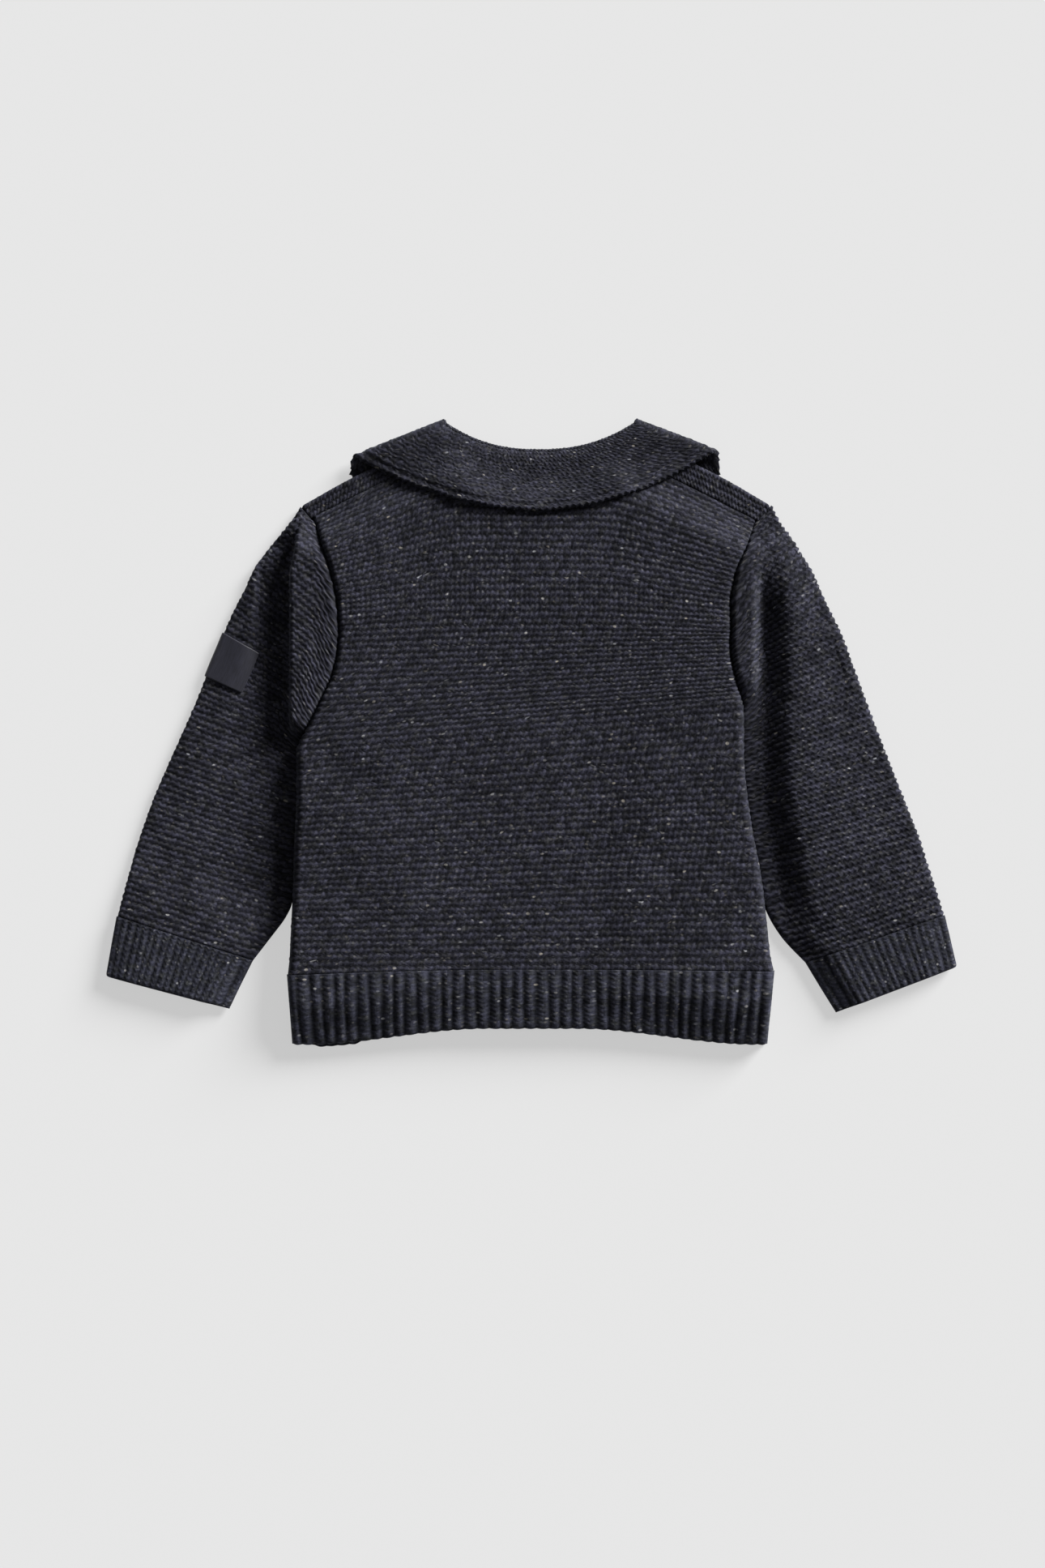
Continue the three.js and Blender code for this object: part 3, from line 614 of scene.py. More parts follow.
def new_group(name, inputs, outputs):
    """An empty node group with the given sockets. Each is a name with Float, Vector or Color."""
    tree = bpy.data.node_groups.new(name, "ShaderNodeTree")
    for direction, sockets in (("INPUT", inputs), ("OUTPUT", outputs)):
        for label, kind in sockets.items():
            tree.interface.new_socket(label, in_out=direction, socket_type="NodeSocket" + kind)
    source = tree.nodes.new("NodeGroupInput")
    result = tree.nodes.new("NodeGroupOutput")
    return tree, source.outputs, result.inputs


# %% Garter stitch in the material
def garter_face_group():
    tree, given, result = new_group(
        "garter_face", {"Knit": "Vector", "Beading": "Float"},
        {"Height": "Float", "Groove": "Float"})
    place = add_node(tree, "ShaderNodeSeparateXYZ", {0: given["Knit"]}).outputs
    stitch_turn = product(tree, place["X"], TAU)
    wave = product(tree, maths(tree, "SINE", stitch_turn), WAVE)
    ridge_turn = product(tree, maths(tree, "ADD", place["Y"], wave), TAU)
    crest = ranged(tree, maths(tree, "COSINE", ridge_turn), (-1, 1), (1, 0))
    between = ranged(tree, maths(tree, "COSINE", stitch_turn), (-1, 1), (0, 1))
    bead = maths(tree, "SUBTRACT", 1.0, product(tree, between, given["Beading"]))
    tree.links.new(product(tree, crest, bead), result["Height"])
    # The groove mask is 1 in the troughs between the ridges, where the yarn group darkens the colour as
    # painted shade.
    tree.links.new(ranged(tree, crest, (0.0, 0.6), (1, 0)), result["Groove"])
    return tree


# %% Rib stitch in the material
def rib_face_group():
    tree, given, result = new_group(
        "rib_face", {"Knit": "Vector"}, {"Height": "Float", "Groove": "Float"})
    place = add_node(tree, "ShaderNodeSeparateXYZ", {0: given["Knit"]}).outputs
    across = maths(tree, "FRACT", place["X"])
    aside = maths(tree, "ABSOLUTE", maths(tree, "SUBTRACT", across, 0.5))
    slanted = maths(tree, "ADD", place["Y"], product(tree, aside, 1.1))
    chevron = ranged(tree, maths(tree, "COSINE", product(tree, slanted, TAU)), (-1, 1), (0, 1))
    spine = ranged(tree, aside, (0.0, 0.10), (0.8, 1))
    valley = ranged(tree, aside, (0.22, 0.42), (0, 1))
    between_stitches = ranged(tree, chevron, (0, 0.5), (0.15, 0))
    tree.links.new(product(tree, chevron, spine), result["Height"])
    # The groove mask covers the valleys between the ribs and the troughs between stitches, where the
    # yarn group darkens the colour as painted shade.
    tree.links.new(maths(tree, "MAXIMUM", valley, between_stitches), result["Groove"])
    return tree


# %% Flecked yarn
PALE_WOOL = (0.36, 0.37, 0.40, 1)
BROWN_WOOL = (0.32, 0.29, 0.24, 1)
FLECKS = (
    # cells to a stitch and a ridge, radius, rarity and strength: a few bright ones, more dim ones
    ((0.62, 1.13, 1), 0.23, 0.96, 0.75),
    ((0.97, 1.71, 1), 0.3, 0.8, 0.2),
)
FLECK_CORE = 0.6


def fleck_mask(tree, knit, spacing, radius, rarity):
    """Small lens shapes along the rows, in a few of the cells of a Voronoi pattern."""
    inputs = {"Vector": scaled(tree, knit, spacing), "Scale": 1.0}
    cells = add_node(tree, "ShaderNodeTexVoronoi", inputs, voronoi_dimensions="2D").outputs
    spot = ranged(tree, cells["Distance"], (radius * FLECK_CORE, radius), (1, 0))
    chance = add_node(tree, "ShaderNodeSeparateColor", {0: cells["Color"]}).outputs
    chosen = maths(tree, "GREATER_THAN", chance["Red"], rarity)
    faint = ranged(tree, chance["Blue"], (0, 1), (0.2, 1))
    return product(tree, spot, chosen, faint), chance["Green"]


def flecked_yarn_group():
    tree, given, result = new_group(
        "flecked_yarn",
        {"Knit": "Vector", "Dye": "Color", "Groove": "Float", "Groove Shade": "Float"},
        {"Colour": "Color", "Fibres": "Float"})
    knit = given["Knit"]
    stitch_cell = add_node(tree, "ShaderNodeVectorMath", {0: knit}, operation="FLOOR").outputs[0]
    stitch_value = add_node(tree, "ShaderNodeTexWhiteNoise", {"Vector": stitch_cell}).outputs["Value"]
    fibres = noise(tree, scaled(tree, knit, (1.5, 2.6, 1)), detail=4.0, roughness=0.8)
    dye_patches = noise(tree, scaled(tree, knit, (0.07, 0.12, 1)), detail=2.0)
    warmth = noise(tree, scaled(tree, knit, (0.55, 0.95, 1)), detail=2.0, roughness=0.7)
    # Painted shade: the colour is darkened in the grooves, by the groove mask times the groove shade.
    # The stitch, fibre and patch factors are the yarn's own uneven tone.
    groove_shade = product(tree, given["Groove"], given["Groove Shade"])
    light = product(
        tree, maths(tree, "SUBTRACT", 1.0, groove_shade),
        ranged(tree, stitch_value, (0, 1), (0.5, 1.5)),
        ranged(tree, fibres, (0.32, 0.7), (0.35, 1.85)),
        ranged(tree, dye_patches, (0.3, 0.7), (0.85, 1.15)))
    warmer = scaled(tree, given["Dye"], (1.1, 1.1, 0.75))
    dye = mixed_colour(tree, ranged(tree, warmth, (0.45, 0.7), (0, 0.9)), given["Dye"], warmer)
    base_colour = shaded(tree, dye, light)
    for spacing, radius, rarity, strength in FLECKS:
        mask, tone = fleck_mask(tree, knit, spacing, radius, rarity)
        wool = mixed_colour(tree, tone, PALE_WOOL, BROWN_WOOL)
        base_colour = mixed_colour(tree, product(tree, mask, strength), base_colour, wool)
    tree.links.new(base_colour, result["Colour"])
    tree.links.new(fibres, result["Fibres"])
    return tree


# %% [markdown]
# A knit material joins a face group and the yarn group to one Principled shader. Wool is rough and has
# a faint sheen from its loose fibres, and both are plain numbers on the shader.

# %% Knit materials
FLECKED_YARN = flecked_yarn_group()
GARTER_FACE = garter_face_group()
RIB_FACE = rib_face_group()
FIBRE_DEPTH = 0.56


def new_material(name):
    material = bpy.data.materials.new(name)
    material.use_nodes = True
    tree = material.node_tree
    return material, tree, tree.nodes["Principled BSDF"]


def knit_material(name, face, dye, groove_shade, stitch_depth, yarn_scale=(1, 1, 1), **face_inputs):
    material, tree, surface = new_material(name)
    knit = add_node(tree, "ShaderNodeUVMap", uv_map="knit").outputs[0]
    stitches = add_node(tree, "ShaderNodeGroup", {"Knit": knit, **face_inputs}, node_tree=face).outputs
    yarn_inputs = {
        "Knit": scaled(tree, knit, yarn_scale), "Dye": (*dye, 1),
        "Groove": stitches["Groove"], "Groove Shade": groove_shade,
    }
    yarn = add_node(tree, "ShaderNodeGroup", yarn_inputs, node_tree=FLECKED_YARN).outputs
    tree.links.new(yarn["Colour"], surface.inputs["Base Color"])
    fuzz = bumped(tree, yarn["Fibres"], FIBRE_DEPTH, strength=0.7)
    normal = bumped(tree, stitches["Height"], stitch_depth, strength=1.0, Normal=fuzz)
    tree.links.new(normal, surface.inputs["Normal"])
    surface.inputs["Roughness"].default_value = 0.92
    surface.inputs["Specular IOR Level"].default_value = 0.12
    surface.inputs["Sheen Weight"].default_value = 0.09
    surface.inputs["Sheen Roughness"].default_value = 0.5
    surface.inputs["Sheen Tint"].default_value = (0.55, 0.6, 0.75, 1)
    return material


# groove_shade is how strongly painted shade darkens each yarn in its grooves.
MATERIALS = {
    "garter_knit": knit_material(
        "garter_knit", GARTER_FACE, (0.0255, 0.0255, 0.038),
        groove_shade=0.68, stitch_depth=0.33, Beading=0.6),
    "rib_knit": knit_material(
        "rib_knit", RIB_FACE, (0.029, 0.030, 0.044),
        groove_shade=0.55, stitch_depth=0.15, yarn_scale=(2, 0.8, 1)),
    "collar_knit": knit_material(
        "collar_knit", GARTER_FACE, (0.0215, 0.0215, 0.032),
        groove_shade=0.5, stitch_depth=0.35, Beading=0.8),
}
print("knit materials:", *MATERIALS)


# %% One knitted piece
def knitted_piece(name, node, slot, place, height, knit, grid, flat, rests_on, facing=1,
                  held="laid", **wall):
    """Makes a piece, hides the solid that it replaces, and prints how its cloth was cut."""
    piece = knitted_wall(name, place, height, knit, grid, facing, **wall)
    area = cut_area(place)
    piece.data.materials.append(MATERIALS[slot])
    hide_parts(node)
    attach(piece, "root")
    print(f"{name}: cut {flat[0] * 1000:.0f} by {flat[1] * 1000:.0f} mm, area {area:.4f} m2")


# %% [markdown]
# ## Hem rib
#
# The hem is knitted in one-by-one rib, longer at the sides than in the middle. The hem of the back
# lies on the hems of the two fronts, of which a little shows below it at one corner.

# %% Shape of the hem
HEM_RIBS = 41
HEM_WIDTH = HEM["right_top"][0] - HEM["left_top"][0]
HEM_LENGTH = 36
HEM_STITCHES = round(HEM_LENGTH / RIB_STITCH)
HEM_RIB_COLUMNS = 8
RIB_STITCH_ROWS = 4
FRONT_PEEK = {"middle_x": -108, "full_to": 9.6, "ends_at": 16, "length": 1.6}
RIB_END = {"from_v": 0.9, "length": 0.5}
SEAM_GAP = 0.3
FRONT_HEM_END = BAND_HALF_WIDTH + SEAM_GAP


def front_peek(x):
    """How far the left front's hem shows below the hem of the back, in one short stretch."""
    beside = np.abs(x - FRONT_PEEK["middle_x"])
    return FRONT_PEEK["length"] * (1 - smoothstep(beside, FRONT_PEEK["full_to"], FRONT_PEEK["ends_at"]))


# %% Hem of the back and of the fronts
def hem_piece(name, node, from_x, to_x, level, facing, rests_on, peeks=0):
    width = to_x - from_x
    rib_count = round(HEM_RIBS * width / HEM_WIDTH)

    def place(u, v):
        x = lerp(from_x, to_x, u)
        top_x = np.where(x < 0, HEM["left_top"][0], HEM["right_top"][0])
        bottom_x = np.where(x < 0, HEM["left_bottom_x"], HEM["right_bottom_x"])
        x = x * lerp(1, bottom_x / top_x, v * (x / top_x) ** 2)
        rib, _ = rib_wandering(u * rib_count, HEM_LENGTH / RIB_STITCH)
        rib_end = RIB_END["length"] * np.sin(math.pi * (rib % 1)) * smoothstep(v, RIB_END["from_v"], 1)
        y = lerp(hem_top(x), hem_bottom(x, peeks * front_peek(x)) - rib_end, v)
        return stacked(x, y, level(x, y))

    def knit(u, v):
        return rib_wandering(u * rib_count, v * HEM_STITCHES)

    def height(u, v):
        return rounded(ribs(*knit(u, v)), u, v, (width, HEM_LENGTH), SEWN_START)

    knitted_piece(
        name, node, "rib_knit", place, height, knit,
        (rib_count * HEM_RIB_COLUMNS, HEM_STITCHES * RIB_STITCH_ROWS),
        flat=(width * MM, 0.042), rests_on=rests_on, facing=facing)


hem_piece("hem_back_knit", "hem_rib_back", HEM["left_top"][0], HEM["right_top"][0],
          full_back_level, -1, ["hem_rib_front_left", "hem_rib_front_right", "front_band_right"])
hem_piece("hem_front_left_knit", "hem_rib_front_left", HEM["left_top"][0], -FRONT_HEM_END,
          front_left_level, 1, ["table_top"], peeks=1)
hem_piece("hem_front_right_knit", "hem_rib_front_right", FRONT_HEM_END, HEM["right_top"][0],
          front_right_level, 1, ["table_top"])

# %% [markdown]
# ## Back
#
# The back is one flat piece in garter stitch. Its sides follow the side seams and the armholes, and
# its rows bend down towards the shoulders, because the shoulders slope. The tables of the sleeves
# follow the same line, so the seams meet.

# %% Bend of the rows
TOP_LEFT_X, TOP_LEFT_Y, TOP_RIGHT_X, TOP_RIGHT_Y = BODY_ROWS[-1]
BEND_START_Y = 40
BEND_POWER = 1.5


def shoulder_share(y, top_y):
    """0 where the rows start to bend and 1 at the top."""
    return np.clip((y - BEND_START_Y) / (top_y - BEND_START_Y), 0, 1) ** BEND_POWER


# %% Back
BACK_SIZE = (254, 284)
BACK_STITCHES = 80
BACK_RIDGES = 80
EVEN_AT = 0.2
TOP_ROWS_POWER = 5
LINE_ROUND = 14
NECK_GAP = 0.8
SEAM_OVERLAP = 0.4


def shoulder_line_y(x):
    """The slope of the shoulders, rounded over the neck, which the rows of knitting follow."""
    beyond = np.abs(x) - SHOULDER_SEAM["start_x"]
    fall = SHOULDER_SEAM["slope"] * (beyond + np.sqrt(beyond ** 2 + LINE_ROUND ** 2)) / 2
    return SHOULDER_SEAM["at_neck_y"] - fall


def back_at(u, position):
    left_x, left_y, right_x, right_y = np.moveaxis(along_rows(BODY_ROWS, position), -1, 0)
    x = lerp(left_x - SEAM_OVERLAP, right_x + SEAM_OVERLAP, u)
    straight_top = lerp(TOP_LEFT_Y, TOP_RIGHT_Y, u)
    top_x = lerp(TOP_LEFT_X, TOP_RIGHT_X, u)
    back_top = np.minimum(shoulder_seam_y(top_x), neck_curve_y(top_x) - NECK_GAP)
    line = shoulder_line_y(top_x)
    share = shoulder_share(left_y, TOP_LEFT_Y)
    y = lerp(left_y, right_y, u) + share * (line - straight_top)
    y = y + share ** TOP_ROWS_POWER * (np.maximum(back_top, straight_top) - line)
    at_hem = np.clip(1 - position, 0, 1)
    y = y + at_hem * (hem_top(x) - SEAM_OVERLAP - y)
    return stacked(x, y, full_back_level(x, y) + crease_height(x, y, BACK_CREASES))


back_position, back_length = even_rows(back_at, BODY_LAST, u_at=EVEN_AT)
print(f"the back is {back_length:.0f} mm long")


def back_place(u, v):
    return back_at(u, back_position(v))


def back_knit(u, v):
    return wandering(u * BACK_STITCHES, v * BACK_RIDGES)


def back_height(u, v):
    return rounded(garter(*back_knit(u, v)), u, v, BACK_SIZE, SEWN_ENDS)


knitted_piece(
    "back_knit", "back_panel", "garter_knit", back_place, back_height, back_knit,
    (BACK_STITCHES * COLUMNS_PER_STITCH, BACK_RIDGES * ROWS_PER_RIDGE), flat=(0.274, 0.292),
    rests_on=["front_left", "front_right", "collar", "front_band_right"])

# %% [markdown]
# ## Fronts
#
# The fronts lie face down under the back and are hidden, apart from their tops. These fold over the
# shoulders and show as a narrow strip behind the outline, up to the shoulder seam. Below the neck
# each front runs out from its button band or from the collar's wing to its side.

# %% Collar sides, where the fronts end
COLLAR_LEFT = {
    "side": -1, "peak": (-47.8, 169.9), "neck": (-45.4, 161.6), "end": (-94.5, 148.9),
    "fall_end": (-95.8, 151.6), "turn_end": (-98.4, 149.4), "wing_end": (-99.8, 141.8)}
COLLAR_RIGHT = {
    "side": 1, "peak": (57.6, 170.1), "neck": (54.2, 161.6), "end": (99.8, 151.0),
    "fall_end": (99.6, 154.6), "turn_end": (102.6, 152.4), "wing_end": (103.6, 141.8)}
NECK_FLARE = 5.3
FLARE_FROM = 35


def neck_edge_x(y, collar):
    up = np.clip((y - V_POINT_Y) / (collar["neck"][1] - V_POINT_Y), 0, 1)
    flare = NECK_FLARE * smoothstep(y, NECK_TOP_Y - FLARE_FROM, NECK_TOP_Y)
    return collar["side"] * (lerp(BAND_HALF_WIDTH, abs(collar["neck"][0]), up) + SEAM_GAP + flare)


# %% Surface of a front
SHOULDER_TIPS = {-1: (-125.9, 126.2), 1: (130.8, 126.6)}
SHOULDER_BULGE = 2.6
OUTLINE_SINE = 0.43
OUTLINE_COSINE = 0.9
LAST_ROW_BELOW = 12
FOLD_RADIUS = LAYER / 2
TIP_OVERLAP = 2.6


def front_surface(collar, level):
    """A front as a function of u, out from its inner edge, and a position: up its rows to 13, up to
    the fold at 14, round the fold to 15 and on to the shoulder seam at 16."""
    side = collar["side"]
    side_rows = BODY_ROWS[:, :2] if side < 0 else BODY_ROWS[:, 2:]
    top_x, top_y = side_rows[-1]
    tip_x, tip_y = SHOULDER_TIPS[side]
    neck_x = neck_edge_x(np.array(NECK_TOP_Y), collar)

    def body(u, position):
        side_x, side_y = np.moveaxis(along_rows(side_rows, position), -1, 0)
        share = shoulder_share(side_y, top_y)
        y = lerp(lerp(side_y, NECK_TOP_Y - LAST_ROW_BELOW, share), side_y, u)
        x = lerp(neck_edge_x(y, collar), side_x, u)
        at_hem = np.clip(1 - position, 0, 1)
        y = y + at_hem * (hem_top(x) + SEAM_GAP - y)
        return stacked(x, y, level(x, y))

    def fold(u, turn):
        angle = (turn - 0.5) * math.pi
        outline_x = lerp(neck_x, tip_x + side * TIP_OVERLAP, u)
        outline_y = lerp(NECK_TOP_Y, tip_y, u) + SHOULDER_BULGE * np.sin(math.pi * u)
        inwards = HALF + FOLD_RADIUS * (1 - np.cos(angle))
        x = outline_x - side * inwards * OUTLINE_SINE
        y = outline_y - inwards * OUTLINE_COSINE
        return stacked(x, y, level(x, y) + FOLD_RADIUS * (1 + np.sin(angle)))

    def seam(u):
        x = lerp(neck_x, top_x + side * TIP_OVERLAP, u)
        y = shoulder_seam_y(x) + SEAM_GAP
        return stacked(x, y, level(x, y) + LAYER)

    def at(u, position):
        rise = np.clip(position - BODY_LAST, 0, 1)[..., None]
        finish = np.clip(position - BODY_LAST - 2, 0, 1)[..., None]
        below = body(u, np.minimum(position, BODY_LAST))
        turned = fold(u, np.clip(position - BODY_LAST - 1, 0, 1))
        return lerp(lerp(below, turned, rise), seam(u), finish)

    return at


# %% Fronts
FRONT_WIDTH = 112
FRONT_COLUMNS = 96


def front_piece(name, node, collar, level):
    at = front_surface(collar, level)
    position, length = even_rows(at, BODY_LAST + 3)
    ridge_count = round(length / RIDGE_PITCH)
    stitch_count = round(FRONT_WIDTH / STITCH_PITCH)

    def place(u, v):
        return at(u, position(v))

    def knit(u, v):
        return wandering(u * stitch_count, v * ridge_count)

    def height(u, v):
        return rounded(garter(*knit(u, v)), u, v, (FRONT_WIDTH, length), SEWN_ENDS)

    knitted_piece(
        name, node, "garter_knit", place, height, knit,
        (FRONT_COLUMNS, ridge_count * ROWS_PER_RIDGE), flat=(0.125, 0.31),
        rests_on=["table_top"], facing=-collar["side"])


front_piece("front_left_knit", "front_left", COLLAR_LEFT, front_left_level)
front_piece("front_right_knit", "front_right", COLLAR_RIGHT, front_right_level)

# %% [markdown]
# ## Sleeves and cuffs
#
# Each sleeve is one sheet, folded along its outer edge: it starts at the armhole seam, runs over the
# upper side, turns round the edge and comes back underneath. Beside the armhole seam the cloth is
# pushed up into a soft strip with a valley outside it. The cuffs go on where the sleeves end, in rib.

# %% Outlines of the sleeves and cuffs
SLEEVE_LEFT_ROWS = np.array([
    # outer fold x, y, then seam x, y, from the shoulder to the cuff, as in the next three tables
    (-128.8, 125.6, -121.5, 116.8),
    (-134.2, 117.0, -117.6, 104.0),
    (-140.4, 109.6, -113.0, 90.7),
    (-147.5, 101.0, -109.0, 74.0),
    (-154.3, 91.6, -107.6, 56.5),
    (-160.0, 79.3, -108.8, 43.0),
    (-167.0, 65.5, -112.0, 30.4),
    (-177.3, 41.2, -120.6, 12.4),
    (-188.6, 13.3, -131.3, -9.2),
    (-199.8, -11.9, -131.8, -36.7),
    (-210.6, -36.7, -133.4, -62.8),
    (-220.1, -63.7, -135.0, -90.2),
    (-223.4, -75.5, -138.8, -101.5),
    (-226.8, -88.0, -148.0, -114.0),
    (-230.6, -102.4, -157.4, -126.2),
])
SLEEVE_RIGHT_ROWS = np.array([
    (134.0, 126.0, 125.1, 116.3),
    (139.0, 116.2, 120.8, 104.0),
    (144.0, 109.6, 114.8, 90.2),
    (150.2, 100.0, 111.6, 74.0),
    (156.2, 90.2, 111.8, 57.8),
    (160.5, 80.8, 111.3, 49.5),
    (164.7, 71.3, 111.8, 41.2),
    (172.8, 54.7, 114.6, 28.6),
    (178.7, 38.9, 118.5, 13.7),
    (190.8, 6.1, 119.9, -20.0),
    (203.0, -25.4, 123.5, -49.7),
    (215.1, -56.0, 129.3, -80.8),
    (219.5, -69.5, 132.4, -97.0),
    (224.5, -84.5, 141.5, -113.0),
    (229.8, -101.7, 155.0, -127.4),
])
CUFF_LEFT_ROWS = np.array([
    (-230.7, -102.8, -157.6, -126.6),
    (-233.8, -119.2, -164.4, -140.2),
    (-236.7, -135.7, -170.6, -153.2),
])
CUFF_RIGHT_ROWS = np.array([
    (229.9, -102.1, 155.2, -127.8),
    (233.4, -116.4, 163.4, -141.4),
    (236.7, -130.4, 171.9, -155.0),
])

# %% Heights of the sleeves and cuffs
SLEEVE = {
    # heights at the seam, of the raised strip beside it, and of the cuff
    "seam": 3.4, "strip": 16.0, "cuff": 8.0, "cuff_edge": 6.0,
    # distances across the sleeve, and the widest strip as a share of its width
    "cuff_rise": 14, "cuff_fall": 18, "strip_rise": 3, "strip_fade": (2, 8), "widest_strip": 0.6,
    "shortest_rise": 4, "edge_fall": 14,
    # how much the underside lifts, and how near to the outer edge it does
    "under_lift": 1.4, "under_lifts": (3, 20),
    # rows over which the cap rises and the sleeve turns into the cuff
    "cap_rows": (0, 2.2), "cap_share": 0.06, "cuff_rows": (11, 14),
}
SLEEVE_FOLDS = {
    # the line x where the raised strip beside the armhole ends, the width of its slope and of the
    # valley outside it, how far it takes to rise to the crest, how high the crest and the outer edge
    # are, the rows between which the valley deepens, how many ridges the rows bend by beside the
    # seam, how high the ridges stand compared with the back's, and how beaded and wavy they are
    -1: {"line_x": -132.5, "drop": 3.0, "valley": 20, "rise": 36, "crest": 5.4, "edge": 3.8,
         "deep_rows": (0, 2.5), "row_bend": 5, "relief": 1.0, "beading": BEAD, "wave": WAVE},
    1: {"line_x": 121.5, "drop": 8.0, "valley": 0, "rise": 18, "crest": 11.6, "edge": 7.0,
        "deep_rows": (1.5, 4.5), "row_bend": 2.5, "relief": 1.7, "beading": 0.1, "wave": 0.03},
}


def cuff_upper(distance, width, position):
    """Height of the cuff's upper layer, by distance from the seam. It is the same in every row."""
    rise = (SLEEVE["cuff"] - SLEEVE["seam"]) * smoothstep(distance, 0, SLEEVE["cuff_rise"])
    fall = smoothstep(distance, width - SLEEVE["cuff_fall"], width)
    return SLEEVE["seam"] + rise - (SLEEVE["cuff"] - SLEEVE["cuff_edge"]) * fall


def sleeve_upper(rows, side):
    """Height of the sleeve's upper layer, by distance from the seam."""
    fold = SLEEVE_FOLDS[side]
    crest = fold["crest"] - SLEEVE["seam"]
    edge = fold["edge"] - SLEEVE["seam"]

    def upper(distance, width, position):
        row = along_rows(rows, position)
        across_x = (row[..., 0] - row[..., 2]) / width
        strip_ends = (fold["line_x"] - row[..., 2]) / across_x
        strip_ends = np.clip(strip_ends, 0, SLEEVE["widest_strip"] * width)
        deep = smoothstep(position, *fold["deep_rows"])
        strip = SLEEVE["strip"] - SLEEVE["seam"]
        strip = strip * np.maximum(smoothstep(strip_ends, *SLEEVE["strip_fade"]), 1 - deep)
        valley_from = strip_ends + fold["drop"]
        valley_to = strip_ends + deep * (fold["drop"] + fold["valley"])
        crest_at = np.minimum(valley_to + fold["rise"], width - SLEEVE["edge_fall"])
        crest_at = np.maximum(crest_at, valley_to + SLEEVE["shortest_rise"])
        edge_at = np.maximum(width, crest_at + SLEEVE["shortest_rise"])
        height = (
            strip * smoothstep(distance, 0, SLEEVE["strip_rise"])
            - strip * deep * smoothstep(distance, strip_ends, valley_from)
            + (crest - strip * (1 - deep)) * smoothstep(distance, valley_to, crest_at)
            + (edge - crest) * smoothstep(distance, crest_at, edge_at))
        rise = lerp(SLEEVE["cap_share"], 1, smoothstep(position, *SLEEVE["cap_rows"]))
        to_cuff = smoothstep(position, *SLEEVE["cuff_rows"])
        return lerp(SLEEVE["seam"] + rise * height, cuff_upper(distance, width, position), to_cuff)

    return upper


def sleeve_under(distance, width):
    near_edge = 1 - smoothstep(width - distance, *SLEEVE["under_lifts"])
    return HALF + SLEEVE["under_lift"] * near_edge


# %% Folded tube
SEAM_TUCK = 2.6
TUCK_FADE = 7


def tube_surface(rows, upper):
    """A flattened tube as a function of u round its section and a position along its rows."""
    def at(u, position):
        row = along_rows(rows, position)
        edge, seam = row[..., :2], row[..., 2:]
        width = np.linalg.norm(edge - seam, axis=-1)
        across = (edge - seam) / width[..., None]
        top = upper(width, width, position)
        bottom = sleeve_under(width, width)
        radius = (top - bottom) / 2
        turn_at = width - HALF - radius
        run = u * (2 * turn_at + math.pi * radius)
        angle = np.clip((run - turn_at) / radius, 0, math.pi)
        on_top = run < turn_at
        turning = (angle > 0) & (angle < math.pi)
        distance = np.where(on_top, run, 2 * turn_at + math.pi * radius - run)
        distance = np.where(turning, turn_at + radius * np.sin(angle), distance)
        z = np.where(on_top, upper(distance, width, position), sleeve_under(distance, width))
        z = np.where(turning, (top + bottom) / 2 + radius * np.cos(angle), z)
        tuck = np.where(run < width / 2, SEAM_TUCK, SEAM_OVERLAP)
        shift = distance - tuck * (1 - smoothstep(distance, 0, TUCK_FADE))
        plan = seam + across * shift[..., None]
        return stacked(plan[..., 0], plan[..., 1], z)
    return at


# %% Sleeve
SLEEVE_WIDTH = 156
SLEEVE_COLUMNS = 152
CAP_TUCK = 0.4
CREASED_TO = 0.45
ROW_BEND = {"reach": 0.15, "power": 1.6, "starts": (0, 0.2), "ends": (0.32, 0.6)}
SLEEVE_CREASES = {
    -1: [((-176, 60), (-140, 8), 12, -0.9), ((-186, -22), (-140, -48), 10, 0.8),
         ((-204, -52), (-148, -86), 12, -0.7), ((-190, -84), (-166, -118), 9, 0.6)],
    1: [((176, 48), (138, -6), 12, -0.9), ((190, -24), (134, -50), 11, 0.8),
        ((206, -60), (150, -84), 12, -0.7), ((196, -90), (168, -120), 9, 0.6)],
}


def sleeve_piece(name, node, rows, side):
    fold = SLEEVE_FOLDS[side]
    at = tube_surface(rows, sleeve_upper(rows, side))
    position, length = even_rows(at, len(rows) - 1, first=-CAP_TUCK)
    ridge_count = round(length / RIDGE_PITCH)

    def place(u, v):
        near = np.clip(1 - np.minimum(u, 1 - u) / ROW_BEND["reach"], 0, 1) ** ROW_BEND["power"]
        where = smoothstep(v, *ROW_BEND["starts"]) * (1 - smoothstep(v, *ROW_BEND["ends"]))
        bent = np.clip(v + fold["row_bend"] / ridge_count * near * where, 0, 1)
        points = at(u, position(bent))
        x, y, z = np.moveaxis(points, -1, 0)
        creased = np.clip(z / fold["crest"], 0, 1) * (u < CREASED_TO)
        return stacked(x, y, z + creased * crease_height(x, y, SLEEVE_CREASES[side]))

    def knit(u, v):
        row = along_rows(rows, position(v))
        width = np.linalg.norm(row[..., :2] - row[..., 2:], axis=-1)
        return wandering((u - 0.5) * 2 * width / STITCH_PITCH, v * ridge_count)

    def height(u, v):
        stitches = garter(*knit(u, v), fold["beading"], fold["wave"])
        stitches = OUTER + fold["relief"] * (stitches - OUTER)
        return rounded(stitches, u, v, (SLEEVE_WIDTH, length), SEWN_ENDS)

    knitted_piece(
        name, node, "garter_knit", place, height, knit,
        (SLEEVE_COLUMNS, ridge_count * ROWS_PER_RIDGE), flat=(0.172, 0.28),
        rests_on=["table_top"], facing=-side)


sleeve_piece("sleeve_left_knit", "sleeve_left", SLEEVE_LEFT_ROWS, -1)
sleeve_piece("sleeve_right_knit", "sleeve_right", SLEEVE_RIGHT_ROWS, 1)

